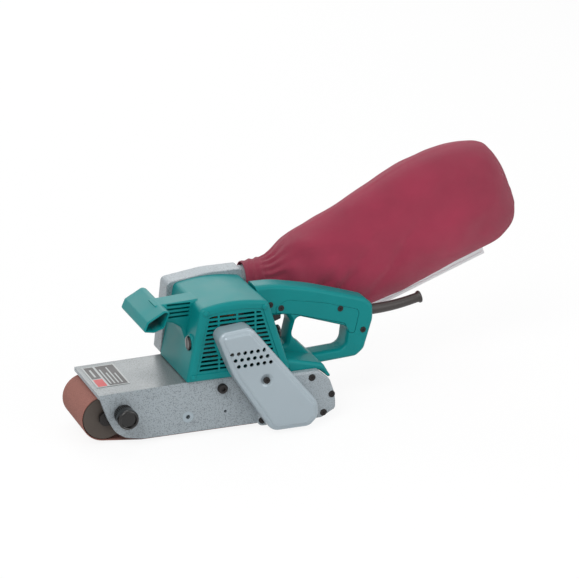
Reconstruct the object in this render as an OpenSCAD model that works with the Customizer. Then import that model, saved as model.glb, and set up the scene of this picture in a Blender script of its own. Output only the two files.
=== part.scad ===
// Handheld belt sander. Millimetres, +X to the rear handle, +Z up, -Y towards
// the belt-drive side. The origin is the centre of the sanding face.

/* [Sanding belt] */
// Width of the sanding belt
belt_w = 76; // [64:1:92]
// Thickness of the sanding belt
belt_t = 1; // [0.8:0.1:1.4]
// Outer radius of the belt where it turns round the front roller
front_r = 26.3; // [24:0.1:27.5]
// Outer radius of the belt where it turns round the rear drum
drum_r = 28.6; // [26.5:0.1:30]
// Distance from the sanding face's centre forward to the roller's axis
roller_x = 106.6; // [98:0.1:118]
// Distance from the sanding face's centre back to the drum's axis
drum_x = 112.5; // [100:0.1:120]
// Height of the drum's axis above the sanding face
drum_z = 29; // [28.8:0.1:31]
// Length of the flat sanding face
platen_l = 130; // [110:1:140]
// Free play between the belt and the front roller
roller_play = 0.7; // [0.6:0.1:1]

/* [Frame] */
// Thickness of the frame's side plate
plate_t = 6; // [5:0.5:8]
// Gap between the belt's edge and the side plate
side_gap = 7; // [6.5:0.5:10]
// Height of the deck above the sanding face
deck_z = 65.7; // [64:0.1:70]
// Length of the frame's deck in front of the sanding face's centre
deck_front = 116.3; // [112:0.1:124]
// How far the deck's front edge lies below its rear
deck_drop = 2; // [0:0.1:2.4]
// Height of the side plate's lower edge above the sanding face
ground_gap = 6.2; // [4:0.1:8]

/* [Motor] */
// Distance of the motor's axis behind the sanding face's centre
motor_x = 36; // [33:0.1:39]
// Height of the motor's axis above the sanding face
motor_z = 108; // [106:0.1:110]
// Radius of the motor shaft
shaft_r = 4; // [3.5:0.1:4.5]
// Outer radius of the stator
stator_r = 33; // [28:0.5:34]
// Radius of the armature core
armature_r = 20; // [16:0.5:21]
// Radius of the dust fan
dust_fan_r = 37; // [30:0.5:38]

/* [Transmission] */
// Teeth of the pinion
pinion_teeth = 10; // [9:1:11]
// Teeth of the drum gear
gear_teeth = 30; // [28:1:32]
// Module of the two gears
gear_m = 1.5; // [1.4:0.05:1.55]
// Angle of the line from the drum up to the pinion
gear_angle = 154; // [150:1:158]
// Radius of the small pulley on the motor shaft
small_pulley_r = 9; // [8:0.1:10]
// Radius of the large pulley on the pinion shaft
large_pulley_r = 22.5; // [20:0.1:23]
// Width of the drive belt
drive_belt_w = 8; // [6:0.5:9]

/* [Shells] */
// Thickness of the moulded motor housing
shell_t = 3; // [2:0.1:3.6]
// Width of the motor housing along the motor's axis
housing_w = 91; // [88:1:94]
// Depth of the vented motor end cover
end_cover_d = 5.9; // [5:0.1:7]
// Thickness of the pressed drive cover
cover_t = 1.6; // [1.2:0.1:2]
// Depth of the fan casing
fan_case_d = 25.8; // [24:0.1:32]
// Radius of the holes in the drive cover
vent_hole_r = 2.3; // [1.6:0.1:2.8]
// Spacing of the holes in the drive cover
vent_pitch = 7.5; // [6.5:0.1:7.6]
// Height of the slots in the motor end cover
slot_h = 2.7; // [1.8:0.1:3]
// Spacing of the slots in the motor end cover
slot_pitch = 5.3; // [4.8:0.1:5.8]

/* [Handle] */
// Width of the handle
handle_w = 28.6; // [26:0.2:32]
// Wall of the handle
handle_t = 2.8; // [2:0.1:3.4]
// Travel of the trigger
trigger_travel = 5; // [3:0.5:6]
// Radius of the hole through the cord guard
cord_r = 3.9; // [3:0.1:4.2]
// Length of the curved part of the cord guard
guard_l = 50; // [35:1:60]

/* [Dust bag] */
// Thickness of the bag's cloth
cloth_t = 1; // [0.8:0.1:1.5]
// Half thickness of the filled bag
bag_half = 41; // [34:1:44]
// Half width of the dust nozzle
nozzle_half_w = 12.9; // [10:0.1:12.9]
// Half height of the dust nozzle
nozzle_half_h = 17; // [14:0.1:17]

/* [Controls] */
// Radius of the tracking knob
knob_r = 11.6; // [9:0.1:12.5]
// How far the tracking knob stands out of the side plate
knob_l = 23; // [18:0.5:26]
// Travel of the tension carriage
tension_travel = 5; // [3:0.5:5]

/* [Fasteners] */
// Radius of the heads of the handle's screws
screw_head_r = 3.4; // [2.6:0.1:3.8]
// Radius of the shanks of the case screws
case_screw_r = 2; // [1.6:0.1:2.2]

/* [Hidden] */
$fn = 48;

seat = 0.1;          // gap between two fixed pieces that meet
run = 0.03;          // radial gap of a shaft in its bearing
play = 0.3;          // gap between a moving piece and what it passes
eps = 0.5;           // how far a cut runs past a face

belt_half = belt_w / 2;
roller_z = front_r + 5;
plate_in = -belt_half - side_gap;
plate_out = plate_in - plate_t;
deck_far = belt_half + 6.5;
deck_t = 4.5;
deck_low = deck_z - deck_t - 1.2;
body_front = -16;
body_far = plate_out + 1 + housing_w;
body_near = plate_out + 1;
end_out = body_near - end_cover_d;
case_out = plate_out - 9;
drum = [drum_x, drum_z];
motor = [motor_x, motor_z];
gear_gap = gear_m * (pinion_teeth + gear_teeth) / 2;
pinion = drum + gear_gap * [cos(gear_angle), sin(gear_angle)];
bearing_r = 11;
bearing_w = 7;
cover_in = case_out - seat;
cover_out = plate_out - 30.5;
pulley_out = cover_out + cover_t + 3.7;
pulley_in = pulley_out + drive_belt_w + 2;
commutator_y = -41.4;
nozzle_z = 140;
nozzle_x = 84;
nozzle_l = 28;
nozzle_y = body_far + 0.2 + fan_case_d / 2;
knob_at = [-89, 39.5];
lever_at = [-33, 31];
arm_pivot_x = -70;
cam_reach = tension_travel + 3;
guard_z = 104.8;
guard_x = 226;
guard_bend = 230;
guard_turn = guard_l / guard_bend * 180 / PI;
guard_tip = 12;
guard_r = 6.3;
guard_step = 0.3;

// ---------- outlines ----------
function unit(v) = v / norm(v);
function flat2(p) = [p.x, p.y];
function wrap(pts, i) = pts[(i + len(pts)) % len(pts)];

// Points of the arc of radius r that rounds the corner b between a and c
function corner(a, b, c, r, n) =
  let (u = unit(a - b), v = unit(c - b),
       half = acos(u * v) / 2,
       mid = b + unit(u + v) * r / sin(half),
       p = b + u * r / tan(half),
       start = atan2(p.y - mid.y, p.x - mid.x),
       turn = sign(cross(b - a, c - b)) * (180 - 2 * half))
  [for (i = [0:n]) mid + r * [cos(start + turn * i / n), sin(start + turn * i / n)]];

// Outline through corners [x, y, radius]
function rounded(pts, n = 7) =
  [for (i = [0:len(pts) - 1])
    let (b = pts[i])
    each (b.z > 0 ? corner(flat2(wrap(pts, i - 1)), flat2(b), flat2(wrap(pts, i + 1)), b.z, n)
                  : [flat2(b)])];

// The same corners moved inwards by w, for an anticlockwise outline
function inset(pts, w) =
  [for (i = [0:len(pts) - 1])
    let (b = flat2(pts[i]),
         u = unit(b - flat2(wrap(pts, i - 1))), v = unit(flat2(wrap(pts, i + 1)) - b),
         nu = [-u.y, u.x], nv = [-v.y, v.x],
         q = b + (nu + nv) * w / (1 + nu * nv))
    [q.x, q.y, max(0, pts[i].z - sign(cross(u, v)) * w)]];

function arc(c, r, from, to, n = 24) =
  [for (i = [0:n]) c + r * [cos(from + (to - from) * i / n), sin(from + (to - from) * i / n)]];

// Loop of a belt round the roller, the drum and the flat platen, w inside its outer face
function sanding_loop(w) =
  let (a = [-roller_x, roller_z], ra = front_r - w, b = drum, rb = drum_r - w,
       e = [-platen_l / 2, w], f = [platen_l / 2, w],
       lift = asin((ra - rb) / norm(b - a)) + atan2(b.y - a.y, b.x - a.x) + 90,
       low_a = atan2(e.y - a.y, e.x - a.x) - acos(ra / norm(e - a)),
       low_b = atan2(f.y - b.y, f.x - b.x) + acos(rb / norm(f - b)))
  concat(arc(a, ra, lift, 360 + low_a), [e, f], arc(b, rb, low_b, lift));

// Loop round two pulleys
function pulley_loop(p, rp, q, rq) =
  let (line = atan2(q.y - p.y, q.x - p.x), lean = acos((rp - rq) / norm(q - p)))
  concat(arc(p, rp, line + lean, line + 360 - lean), arc(q, rq, line - lean, line + lean));

// Involute gear
function roll(r, rb) = let (a = acos(min(1, rb / r))) tan(a) * 180 / PI - a;
function gear_outline(teeth, m, first, slack = 0.12) =
  let (rp = teeth * m / 2, rb = rp * cos(25), ra = rp + 0.8 * m, rf = rp - 1.1 * m,
       half = 90 / teeth - slack / rp * 180 / PI / 2,
       radii = [for (i = [0:4]) max(rb, rf) + (ra - max(rb, rf)) * i / 4])
  [for (t = [0:teeth - 1]) let (mid = first + 360 * t / teeth)
    each concat(
      [let (w = half + roll(rp, rb) - roll(radii[0], rb)) rf * [cos(mid - w), sin(mid - w)]],
      [for (r = radii) let (w = half + roll(rp, rb) - roll(r, rb)) r * [cos(mid - w), sin(mid - w)]],
      [for (i = [4:-1:0]) let (r = radii[i], w = half + roll(rp, rb) - roll(r, rb))
        r * [cos(mid + w), sin(mid + w)]],
      [let (w = half + roll(rp, rb) - roll(radii[0], rb)) rf * [cos(mid + w), sin(mid + w)]])];

// Closed skin over rings of the same number of points
module skin(rings) {
  n = len(rings[0]);
  k = len(rings);
  polyhedron(
    points = [for (r = rings) each r],
    faces = concat(
      [[for (i = [0:n - 1]) i]],
      [for (j = [0:k - 2], i = [0:n - 1]) let (p = j * n + i, q = j * n + (i + 1) % n) each
        [[p, p + n, q + n], [p, q + n, q]]],
      [[for (i = [n - 1:-1:0]) (k - 1) * n + i]]));
}

// ---------- placing ----------
// Stands an outline drawn in X and Z between two values of Y
module across(y0, y1) { translate([0, y1, 0]) rotate([90, 0, 0]) linear_extrude(y1 - y0) children(); }
// Rod along Y at a point of X and Z
module rod(at, r, y0, y1) { translate([at.x, y1, at.y]) rotate([90, 0, 0]) cylinder(r = r, h = y1 - y0); }
// Rod along X
module bar(y, z, r, x0, x1) { translate([x0, y, z]) rotate([0, 90, 0]) cylinder(r = r, h = x1 - x0); }
module block(x0, x1, y0, y1, z0, z1) { translate([x0, y0, z0]) cube([x1 - x0, y1 - y0, z1 - z0]); }
module ring(at, r_in, r_out, y0, y1) {
  difference() { rod(at, r_out, y0, y1); rod(at, r_in, y0 - eps, y1 + eps); }
}
// Upright oval of the dust nozzle, grown by w
module nozzle_oval(w, x0, x1) {
  r = nozzle_half_w + w;
  rise = nozzle_half_h - nozzle_half_w;
  bar(nozzle_y, nozzle_z - rise, r, x0, x1);
  bar(nozzle_y, nozzle_z + rise, r, x0, x1);
  block(x0, x1, nozzle_y - r, nozzle_y + r, nozzle_z - rise, nozzle_z + rise);
}

// ---------- driving outlines ----------
side_shape = [
  [-deck_front, deck_z - deck_drop - 0.1, 0], [-deck_front + 9.8, roller_z + 3, 30],
  [-deck_front + 18, ground_gap + 12, 20], [-deck_front + 30, ground_gap + 3.5, 22],
  [-deck_front + 50, ground_gap, 30], [drum_x + 27, ground_gap, 6],
  [drum_x + 38, 20, 10], [drum_x + 38, 44, 8], [drum_x + 24, 57, 6], [101, 57, 0],
  [101, deck_z - 0.1, 0], [body_front, deck_z - 0.1, 0]];
case_shape = [
  [66, 4.6, 6], [drum_x + 30, 4.6, 8], [drum_x + 47, 14, 5], [drum_x + 47, 30, 60],
  [drum_x + 40, 50, 10], [drum_x + 26, 62.3, 5], [72, 62.3, 6], [66, 50, 10]];
cover_shape = [
  [67.5, 19, 30], [76, 4.6, 14], [121, 4.6, 12], [131.8, 15, 14], [130.5, 33, 16],
  [56, 126.5, 9], [50, 131, 10], [11, 127.5, 9], [31.5, 75, 90]];
body_shape = [
  [body_front, deck_z + seat, 2], [107, deck_z + seat, 2], [80.5, 151, 7], [41, 157, 150],
  [1.5, 150.5, 7]];
neck_shape = [
  [-42, 150.5, 0], [-38, 131, 0], [-22, 128, 6], [-12, 121, 6], [-7, 104, 0], [8, 104, 0], [8, 152.8, 0]];
grip_shape = [
  [-62.5, 129, 2.5], [-50, 126.8, 5], [-38, 131, 3], [-30.5, 148.8, 3], [-37, 151.4, 5],
  [-57.5, 140.2, 4]];
fan_shape = [
  [body_front, deck_z + 1, 4], [94, deck_z + 1, 10], [90, 112, 20], [nozzle_x, 119, 3],
  [nozzle_x, 158, 4], [42, 158, 120], [-6, 151.5, 6]];
handle_shape = [
  [106.6, 66, 0], [150, 51, 8], [203, 54, 12], [213, 62, 12], [224, 98, 25], [223.5, 115, 8],
  [214, 123.5, 9], [190, 131.5, 60], [150, 143.8, 200], [104, 153.6, 120], [80.8, 153.6, 0],
  [81.2, 150, 0]];
grip_hole = [
  [148, 64, 7], [189, 66, 11], [192, 91.5, 6], [130, 112.5, 6], [123.5, 90, 10]];
trigger_gap = [
  [96, 80, 0], [116.5, 80, 4], [123, 107, 6], [118, 115.5, 5], [84, 117.5, 0]];
hood_shape = [
  [106.4, 66, 0], [108.5, 58, 0], [143, 58, 0], [154.5, 48.4, 0], [158, 49, 1.5],
  [148.5, 65.5, 9], [111, 75, 80], [104.2, 76, 0]];
hood_hollow = [
  [100, 40, 0], [153, 40, 0], [153.8, 48.6, 0], [146.5, 61.8, 7], [111, 71.6, 70], [100, 72.4, 0]];
panel_shape = [
  [104, 119.6, 2], [128, 115, 3], [188, 97, 5], [194, 84, 3], [200.3, 84, 3], [206.5, 111.5, 6],
  [162, 125.4, 100], [117, 134.2, 8], [104, 127, 3]];
cavity_shape = [
  [107, 122, 1], [128, 117.8, 2], [189, 99.8, 3], [196, 88, 1], [200, 88, 1], [208, 110, 3],
  [190, 122, 3], [150, 136, 80], [112, 143, 3], [107, 141, 1]];

// ---------- frame ----------
module main_frame() color("silver") difference() {
  union() {
    across(plate_out, plate_in) polygon(rounded(side_shape));
    across(plate_out, deck_far) polygon([
      [-deck_front, deck_z - deck_drop - deck_t], [101, deck_low], [101, deck_z],
      [body_front, deck_z], [-deck_front, deck_z - deck_drop]]);
    // tongue that carries the platen, with the guides of the tension carriage
    block(-54, 62, plate_in, belt_half, 5.6, 14);
    block(-54, 62, plate_in, -belt_half - 0.4, 5.6, 25.8);
    block(-60, 30, plate_in, -33, 38.3, 42.5);
    block(14, 30, plate_in, -31, 22, 42.5);
    rod(drum, bearing_r + 7, -46.5, -belt_half - 0.6);
    rod(pinion, bearing_r + 2, -46.5, -belt_half - 0.6);
    translate([lever_at.x, lever_at.y, 14]) cylinder(r = 6, h = 9.6);
  }
  rod(drum, gear_m * gear_teeth / 2 + 3.5, plate_out - eps, -46.6);
  rod(pinion, gear_m * pinion_teeth / 2 + 3, plate_out - eps, -46.6);
  rod(drum, 14 + seat, -46.7, -belt_half - 2);
  rod(drum, 8, -47, -belt_half + eps);
  rod(pinion, 8 + seat, -46.7, -belt_half - 2.5);
  rod(knob_at, 4.2, plate_out - eps, plate_in + eps);
  rod([-13.7, 24.4], 2.5, plate_out - eps, plate_in + eps);
  rod([-13.7, 24.4], 6.6, plate_out - eps, plate_out + 0.8);
  rod([30.3, 25.1], 1.65, plate_out - eps, plate_in + eps);
  rod([26.6, 53.5], 3 + seat, plate_out - eps, plate_in + eps);
  for (p = case_screw_at) rod(p, case_screw_r + seat, plate_out - eps, plate_in + eps);
  bar(-38, 32.3, 5.5, 12, 19 + tension_travel);
  translate([lever_at.x, lever_at.y, 8]) cylinder(r = 3 + run, h = 20);
}

case_screw_at = [[drum_x + 42, 32], [drum_x + 18, 55], [drum_x + 32, 11], [71, 12], [76, 57]];

module gear_case() color("silver") difference() {
  union() {
    difference() {
      across(case_out, plate_out - seat) polygon(rounded(case_shape));
      rod(drum, gear_m * gear_teeth / 2 + 3.5, case_out + 2.5, plate_out + eps);
      rod(pinion, gear_m * pinion_teeth / 2 + 3, case_out + 2.5, plate_out + eps);
    }
    rod(pinion, bearing_r + 2, case_out - 4, case_out + 1);
    rod(drum, 9, case_out - 3.2, case_out + 1);
  }
  rod(pinion, bearing_r + seat, case_out - 4 + 1, case_out + 2.6);
  rod(pinion, 7, case_out - 4 - eps, case_out);
  rod(drum, 6 + seat, case_out - 2, case_out + 2.6);
  for (p = case_screw_at) {
    rod(p, case_screw_r + seat, case_out - eps, plate_out + eps);
    rod(p, 4.2, case_out - eps, case_out + 2);
  }
}

module platen() color("dimgray") block(-platen_l / 2 + 1, platen_l / 2 - 1, -belt_half + 0.5, belt_half, belt_t + 1.1, belt_t + 2.5);
module platen_pad() color("black") block(-54, 62, -belt_half + 0.5, belt_half, belt_t + 2.55, 5.55);
module graphite_sheet() color("black") block(-platen_l / 2 + 1, platen_l / 2 - 1, -belt_half + 0.5, belt_half, belt_t + 0.15, belt_t + 1.05);

module sanding_belt() color("rosybrown") difference() {
  across(-belt_half, belt_half) polygon(sanding_loop(0));
  across(-belt_half - eps, belt_half + eps) polygon(sanding_loop(belt_t));
}

// ---------- front roller and tension ----------
roller_at = [-roller_x, roller_z];
roller_out = front_r - belt_t - roller_play;

module front_roller() color("dimgray") difference() {
  union() {
    rod(roller_at, roller_out - 0.3, -belt_half + 0.5, belt_half - 0.5);
    rod(roller_at, roller_out, -belt_half / 2, belt_half / 2);
  }
  rod(roller_at, 8, -belt_half, belt_half);
  rod(roller_at, bearing_r + run, -belt_half, -belt_half + 0.5 + bearing_w);
  rod(roller_at, bearing_r + run, belt_half - 0.5 - bearing_w, belt_half);
}
module front_roller_bearings() color("silver") for (y = [-belt_half + 0.5, belt_half - 0.5 - bearing_w])
  ring(roller_at, shaft_r + run, bearing_r, y, y + bearing_w);
module front_roller_axle() color("silver") {
  rod(roller_at, shaft_r, plate_in + 1.3, belt_half + 1);
  rod(roller_at, shaft_r + 2, belt_half - 0.4, belt_half + 1);
}
module roller_arm() color("dimgray") difference() {
  across(plate_in + 1.2, -belt_half - 1.2) polygon(rounded([
    [-roller_x - 7, roller_z - 7, 6.9], [-roller_x + 16, roller_z - 7, 4],
    [arm_pivot_x - 13, 29.4, 4], [arm_pivot_x + 7, 29.4, 2], [arm_pivot_x + 7, 34.6, 2],
    [arm_pivot_x - 8, 34.6, 3], [arm_pivot_x - 14, 44, 4], [-94, 44, 5],
    [-roller_x - 7, roller_z + 7, 6.9]]));
  rod(roller_at, shaft_r + seat, plate_in, -belt_half);
  translate([arm_pivot_x, plate_in + side_gap / 2, 20]) cylinder(r = 1.5 + run, h = 30);
}
module arm_pivot_pin() color("silver")
  translate([arm_pivot_x, plate_in + side_gap / 2, 26.2]) cylinder(r = 1.5, h = 11.6);
module tension_carriage() color("gray") difference() {
  union() {
    block(-76, -26, plate_in + 0.4, -33.4, 26.1, 38);
    block(-26, -18, plate_in + 0.4, lever_at.y + 6, 26.1, 38);
  }
  block(-76 - eps, arm_pivot_x + 9, plate_in, -33, 29.1, 34.9);
  translate([arm_pivot_x, plate_in + side_gap / 2, 20]) cylinder(r = 1.5 + seat, h = 30);
}
module tension_spring() color("silver") {
  turns = 6;
  wire = 0.7;
  length = 33.5;
  r = 4;
  steps = 14 * turns;
  skin([for (i = [0:steps])
    let (a = 360 * turns * i / steps, mid = [-17 + length * i / steps, -38 + r * cos(a), 32.3 + r * sin(a)])
    [for (k = [0:7]) mid + wire * [cos(45 * k), sin(45 * k) * cos(a), sin(45 * k) * sin(a)]]]);
}
module tension_lever() color("dimgray") difference() {
  union() {
    translate([lever_at.x, lever_at.y, 24]) cylinder(r = 6.2, h = 14);
    // cam
    translate([lever_at.x, lever_at.y - cam_reach, 27]) cylinder(r = 3, h = 10);
    block(lever_at.x - 3, lever_at.x + 3, lever_at.y - cam_reach, lever_at.y, 27, 37);
    // arm along the open side
    block(lever_at.x - 5, lever_at.x + 5, lever_at.y, belt_half + 1.4, 26, 36);
    translate([lever_at.x + 1, 0, 0]) across(belt_half + 1.2, belt_half + 4.6) polygon(rounded([
      [-8, 25, 4], [48, 26.5, 4], [62, 28, 3.5], [62, 36, 3.5], [44, 35.5, 8], [-8, 38, 4]]));
  }
  translate([lever_at.x, lever_at.y, 20]) cylinder(r = 3 + run, h = 30);
}
module lever_pin() color("silver") {
  translate([lever_at.x, lever_at.y, 8.1]) cylinder(r = 3, h = 31);
  translate([lever_at.x, lever_at.y, 39]) cylinder(r = 4.5, h = 1.4);
}
module tracking_knob() color("black") difference() {
  union() {
    rod(knob_at, knob_r - 1.2, plate_out - knob_l + 11, plate_out - play);
    rod(knob_at, knob_r, plate_out - knob_l, plate_out - knob_l + 11.5);
    for (a = [0:15:345]) rod(knob_at + (knob_r - 1.1) * [cos(a), sin(a)], 0.9, plate_out - knob_l + 11, plate_out - play - 0.5);
  }
  rod(knob_at, 3 + seat, plate_out - knob_l + 5, plate_out + eps);
  rod(knob_at, knob_r - 3, plate_out - knob_l - eps, plate_out - knob_l + 1.2);
}
module tracking_screw() color("silver") {
  rod(knob_at, 3, plate_out - knob_l + 5.2, plate_out - play);
  rod(knob_at, 4, plate_out - play, plate_in + 0.6);
}

// ---------- rear drum and gears ----------
module drum_core() color("silver") difference() {
  rod(drum, 22, -belt_half + 1, belt_half - 1);
  rod(drum, 6 + run, -belt_half, belt_half);
}
module drum_lagging() color("black")
  ring(drum, 22 + run, drum_r - belt_t - play, -belt_half + 1, belt_half - 1);
module drum_shaft() color("gray") {
  rod(drum, 6, -56.5, belt_half + 2);
  rod(drum, 3, case_out - 1.6, -56.5);
  rod(drum, 9, belt_half - 0.9, belt_half + 1.2);
}
module drum_bearings() color("silver") {
  ring(drum, 6 + run, 14, -46.5, -belt_half - 2.1);
  ring(drum, 3 + run, 6, case_out - 1.9, case_out + 2.4);
}
module drum_gear() color("gray") difference() {
  translate([drum.x, 0, drum.y]) across(-56.3, -47.3) polygon(gear_outline(gear_teeth, gear_m, gear_angle));
  rod(drum, 6 + run, -57, -47);
}
module pinion_shaft() color("gray") {
  translate([pinion.x, 0, pinion.y]) across(-56.3, -47.3)
    polygon(gear_outline(pinion_teeth, gear_m, gear_angle + 180 + 180 / pinion_teeth));
  rod(pinion, shaft_r, pulley_out - 2, -56.3);
  rod(pinion, shaft_r, -47.3, -belt_half - 2.8);
}
module pinion_bearings() color("silver") {
  ring(pinion, shaft_r + run, bearing_r, case_out - 2.8, case_out + 2.4);
  ring(pinion, shaft_r + run, 8, -46.5, -belt_half - 2.6);
}
module pulley(at, r) difference() {
  union() {
    rod(at, r - 1.2, pulley_out, pulley_in);
    for (y = [0:2:drive_belt_w]) rod(at, r, pulley_out + y + 0.5, pulley_out + y + 1.5);
    rod(at, r + 1.3, pulley_out, pulley_out + 0.8);
    rod(at, r + 1.3, pulley_in - 0.8, pulley_in);
  }
  rod(at, shaft_r + run, pulley_out - eps, pulley_in + eps);
}
module large_pulley() color("gray") pulley(pinion, large_pulley_r);
module small_pulley() color("gray") pulley(motor, small_pulley_r);
module drive_belt() color("black") difference() {
  across(pulley_out + 1, pulley_in - 1) polygon(pulley_loop(motor, small_pulley_r + 2, pinion, large_pulley_r + 2));
  across(pulley_out, pulley_in) polygon(pulley_loop(motor, small_pulley_r + 0.3, pinion, large_pulley_r + 0.3));
}

// ---------- drive cover ----------
cover_screw_at = [68.5, 68];
vent_at = [28.4, 103.2];
module belt_cover() color("lightsteelblue") difference() {
  union() {
    across(cover_out, cover_in) polygon(rounded(cover_shape));
    intersection() {
      across(cover_in - 0.1, end_out - seat) polygon(rounded(cover_shape));
      block(0, 140, cover_in - 1, end_out, 63, 140);
    }
  }
  difference() {
    union() {
      across(cover_out + cover_t, cover_in + eps) polygon(rounded(inset(cover_shape, cover_t)));
      intersection() {
        across(cover_in, end_out + eps) polygon(rounded(inset(cover_shape, cover_t)));
        block(0, 140, cover_in - 1, end_out + 1, 62, 140);
      }
    }
    rod(cover_screw_at, 9, cover_out, cover_out + 3);
  }
  for (row = [0:2], k = [0:5])
    rod(vent_at + [k * vent_pitch + row * vent_pitch / 2, k * 0.2 - row * vent_pitch], vent_hole_r, cover_out - eps, cover_out + cover_t + eps);
  rod(cover_screw_at, 6.5, cover_out - eps, cover_out + 1.4);
  rod(cover_screw_at, case_screw_r + seat, cover_out - 1, cover_out + 4);
}
module belt_cover_screw() color("dimgray") {
  rod(cover_screw_at, 4, cover_out - 1, cover_out + 1.3);
  rod(cover_screw_at, case_screw_r, cover_out + 1.3, end_out - seat);
}

// ---------- motor ----------
module motor_housing() color("teal") difference() {
  union() {
    difference() {
      across(body_near, body_far) polygon(rounded(body_shape));
      across(body_near - eps, body_far - shell_t) polygon(rounded(inset(body_shape, shell_t)));
    }
    // rings that hold the stator
    for (y = [-26, 8]) difference() {
      across(y, y + 4) polygon(rounded(inset(body_shape, shell_t - 0.5)));
      rod(motor, stator_r + seat, y - 1, y + 5);
    }
    rod(motor, bearing_r + 3, body_far - shell_t - bearing_w, body_far);
    difference() {
      across(-27, 2) polygon(rounded(neck_shape));
      rod(motor, stator_r + 3, -28, 3);
    }
    across(-47, 41) polygon(rounded(grip_shape));
    bar(commutator_y, motor_z, cap_r + 0.2, brush_front + 1, brush_front + 9);
    bar(commutator_y, motor_z, cap_r + 0.2, brush_rear - 12, brush_rear);
    for (p = end_screw_at) rod(p, 4.5, body_near, body_near + 14);
  }
  across(-48, 42) polygon(rounded(inset(grip_shape, 2.4)));
  rod(motor, bearing_r + seat, body_far - shell_t - bearing_w - 1, body_far - shell_t);
  rod(motor, shaft_r + 2, body_far - shell_t - 1, body_far + eps);
  bar(commutator_y, motor_z, 7, body_front - 6, brush_rear + 1);
  bar(commutator_y, motor_z, cap_r + 0.5, body_front - 6, brush_front);
  bar(commutator_y, motor_z, cap_r + 0.5, brush_rear, brush_rear + 6);
  for (i = [0:3]) block(-30 + 2 * i, 0 - 3.5 * i, -27 - eps, -20, 148.2 - 4.6 * i, 150.4 - 4.6 * i);
  across(-23, -2) polygon([[-27, 147], [-25, 134], [-14, 126], [-4, 122], [-4, 147]]);
  for (p = end_screw_at) rod(p, case_screw_r, body_near - 1, body_near + 12);
}
brush_front = -8.2;
brush_rear = 95.4;
cap_r = 8.2;
end_screw_at = [[-8.5, 72], [87, 72.5], [7, 145], [75.6, 145]];

module motor_end_cover() color("darkcyan") difference() {
  union() {
    difference() {
      across(end_out, body_near - seat) polygon(rounded(body_shape));
      across(end_out + 2.4, body_near + 1) polygon(rounded(inset(body_shape, shell_t)));
      for (k = [0:13]) let (z = 71.5 + slot_pitch * k) {
        left = 5 + 8 * k / 13;
        right = 92 - 17 * k / 13;
        for (s = [[left, 22.5], [24.5, 43], [45, 63.5], [65.5, right]])
          if (norm([(s[0] + s[1]) / 2, z] - motor) > 24 && norm([(s[0] + s[1]) / 2, z] - cover_screw_at) > 14)
            block(s[0], s[1], end_out - 1, end_out + 3, z, z + slot_h);
      }
    }
    rod(motor, bearing_r + 3, end_out - 4, body_near - seat);
    rod(cover_screw_at, 4.5, cover_out + 3.2, end_out + 3);
  }
  rod(motor, bearing_r + seat, body_near - bearing_w, body_near + 1);
  rod(motor, shaft_r + 2, end_out - 5, body_near);
  rod(cover_screw_at, case_screw_r + seat, cover_out, end_out + 1);
  for (p = end_screw_at) rod(p, case_screw_r + seat, end_out - 1, body_near + 1);
}

module stator_core() color("gray") difference() {
  rod(motor, stator_r, -26, 12);
  rod(motor, armature_r + 1, -27, 13);
  for (s = [-1, 1]) translate([motor.x, 0, motor.y + s * (armature_r + 4)])
    block(-13, 13, -27, 13, -3.5, 3.5);
}
module field_coils() color("peru") for (s = [-1, 1]) translate([motor.x, 0, motor.y + s * (armature_r + 4)])
  block(-12.5, 12.5, -29, 15, -3, 3);
module armature_shaft() color("lightgray") {
  rod(motor, shaft_r, pulley_out - 2, body_far + fan_case_d - 4);
}
module armature_core() color("dimgray") difference() {
  rod(motor, armature_r, -26, 12);
  rod(motor, shaft_r + run, -27, 13);
  for (a = [0:30:330]) translate([motor.x, 0, motor.y]) rotate([0, a, 0])
    block(-1.2, 1.2, -27, 13, armature_r - 5, armature_r + 1);
}
module commutator() color("chocolate") difference() {
  rod(motor, 12, -49, -35);
  rod(motor, shaft_r + run, -50, -34);
  for (a = [0:15:345]) translate([motor.x, 0, motor.y]) rotate([0, a, 0]) block(-0.3, 0.3, -49.5, -36, 11, 13);
}
module fan(at, r, hub, y0, y1, blades, plate) difference() {
  union() {
    rod(at, r, y0, y0 + plate);
    rod(at, hub, y0, y1);
    for (k = [0:blades - 1]) translate([at.x, 0, at.y]) rotate([0, 360 * k / blades, 0])
      block(-0.9, 0.9, y0, y1, hub - 1, r - 0.2);
  }
  rod(at, shaft_r + run, y0 - 1, y1 + 1);
}
module cooling_fan() color("white") fan(motor, 31, 9, 16, 26, 12, 2);
module dust_fan() color("gray") fan(motor, dust_fan_r, 9, body_far + 5, body_far + fan_case_d - 6, 8, 2);
module motor_bearings() color("silver") {
  ring(motor, shaft_r + run, bearing_r, body_near - bearing_w + 0.2, body_near);
  ring(motor, shaft_r + run, bearing_r, body_far - shell_t - bearing_w, body_far - shell_t - 0.2);
}

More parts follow.
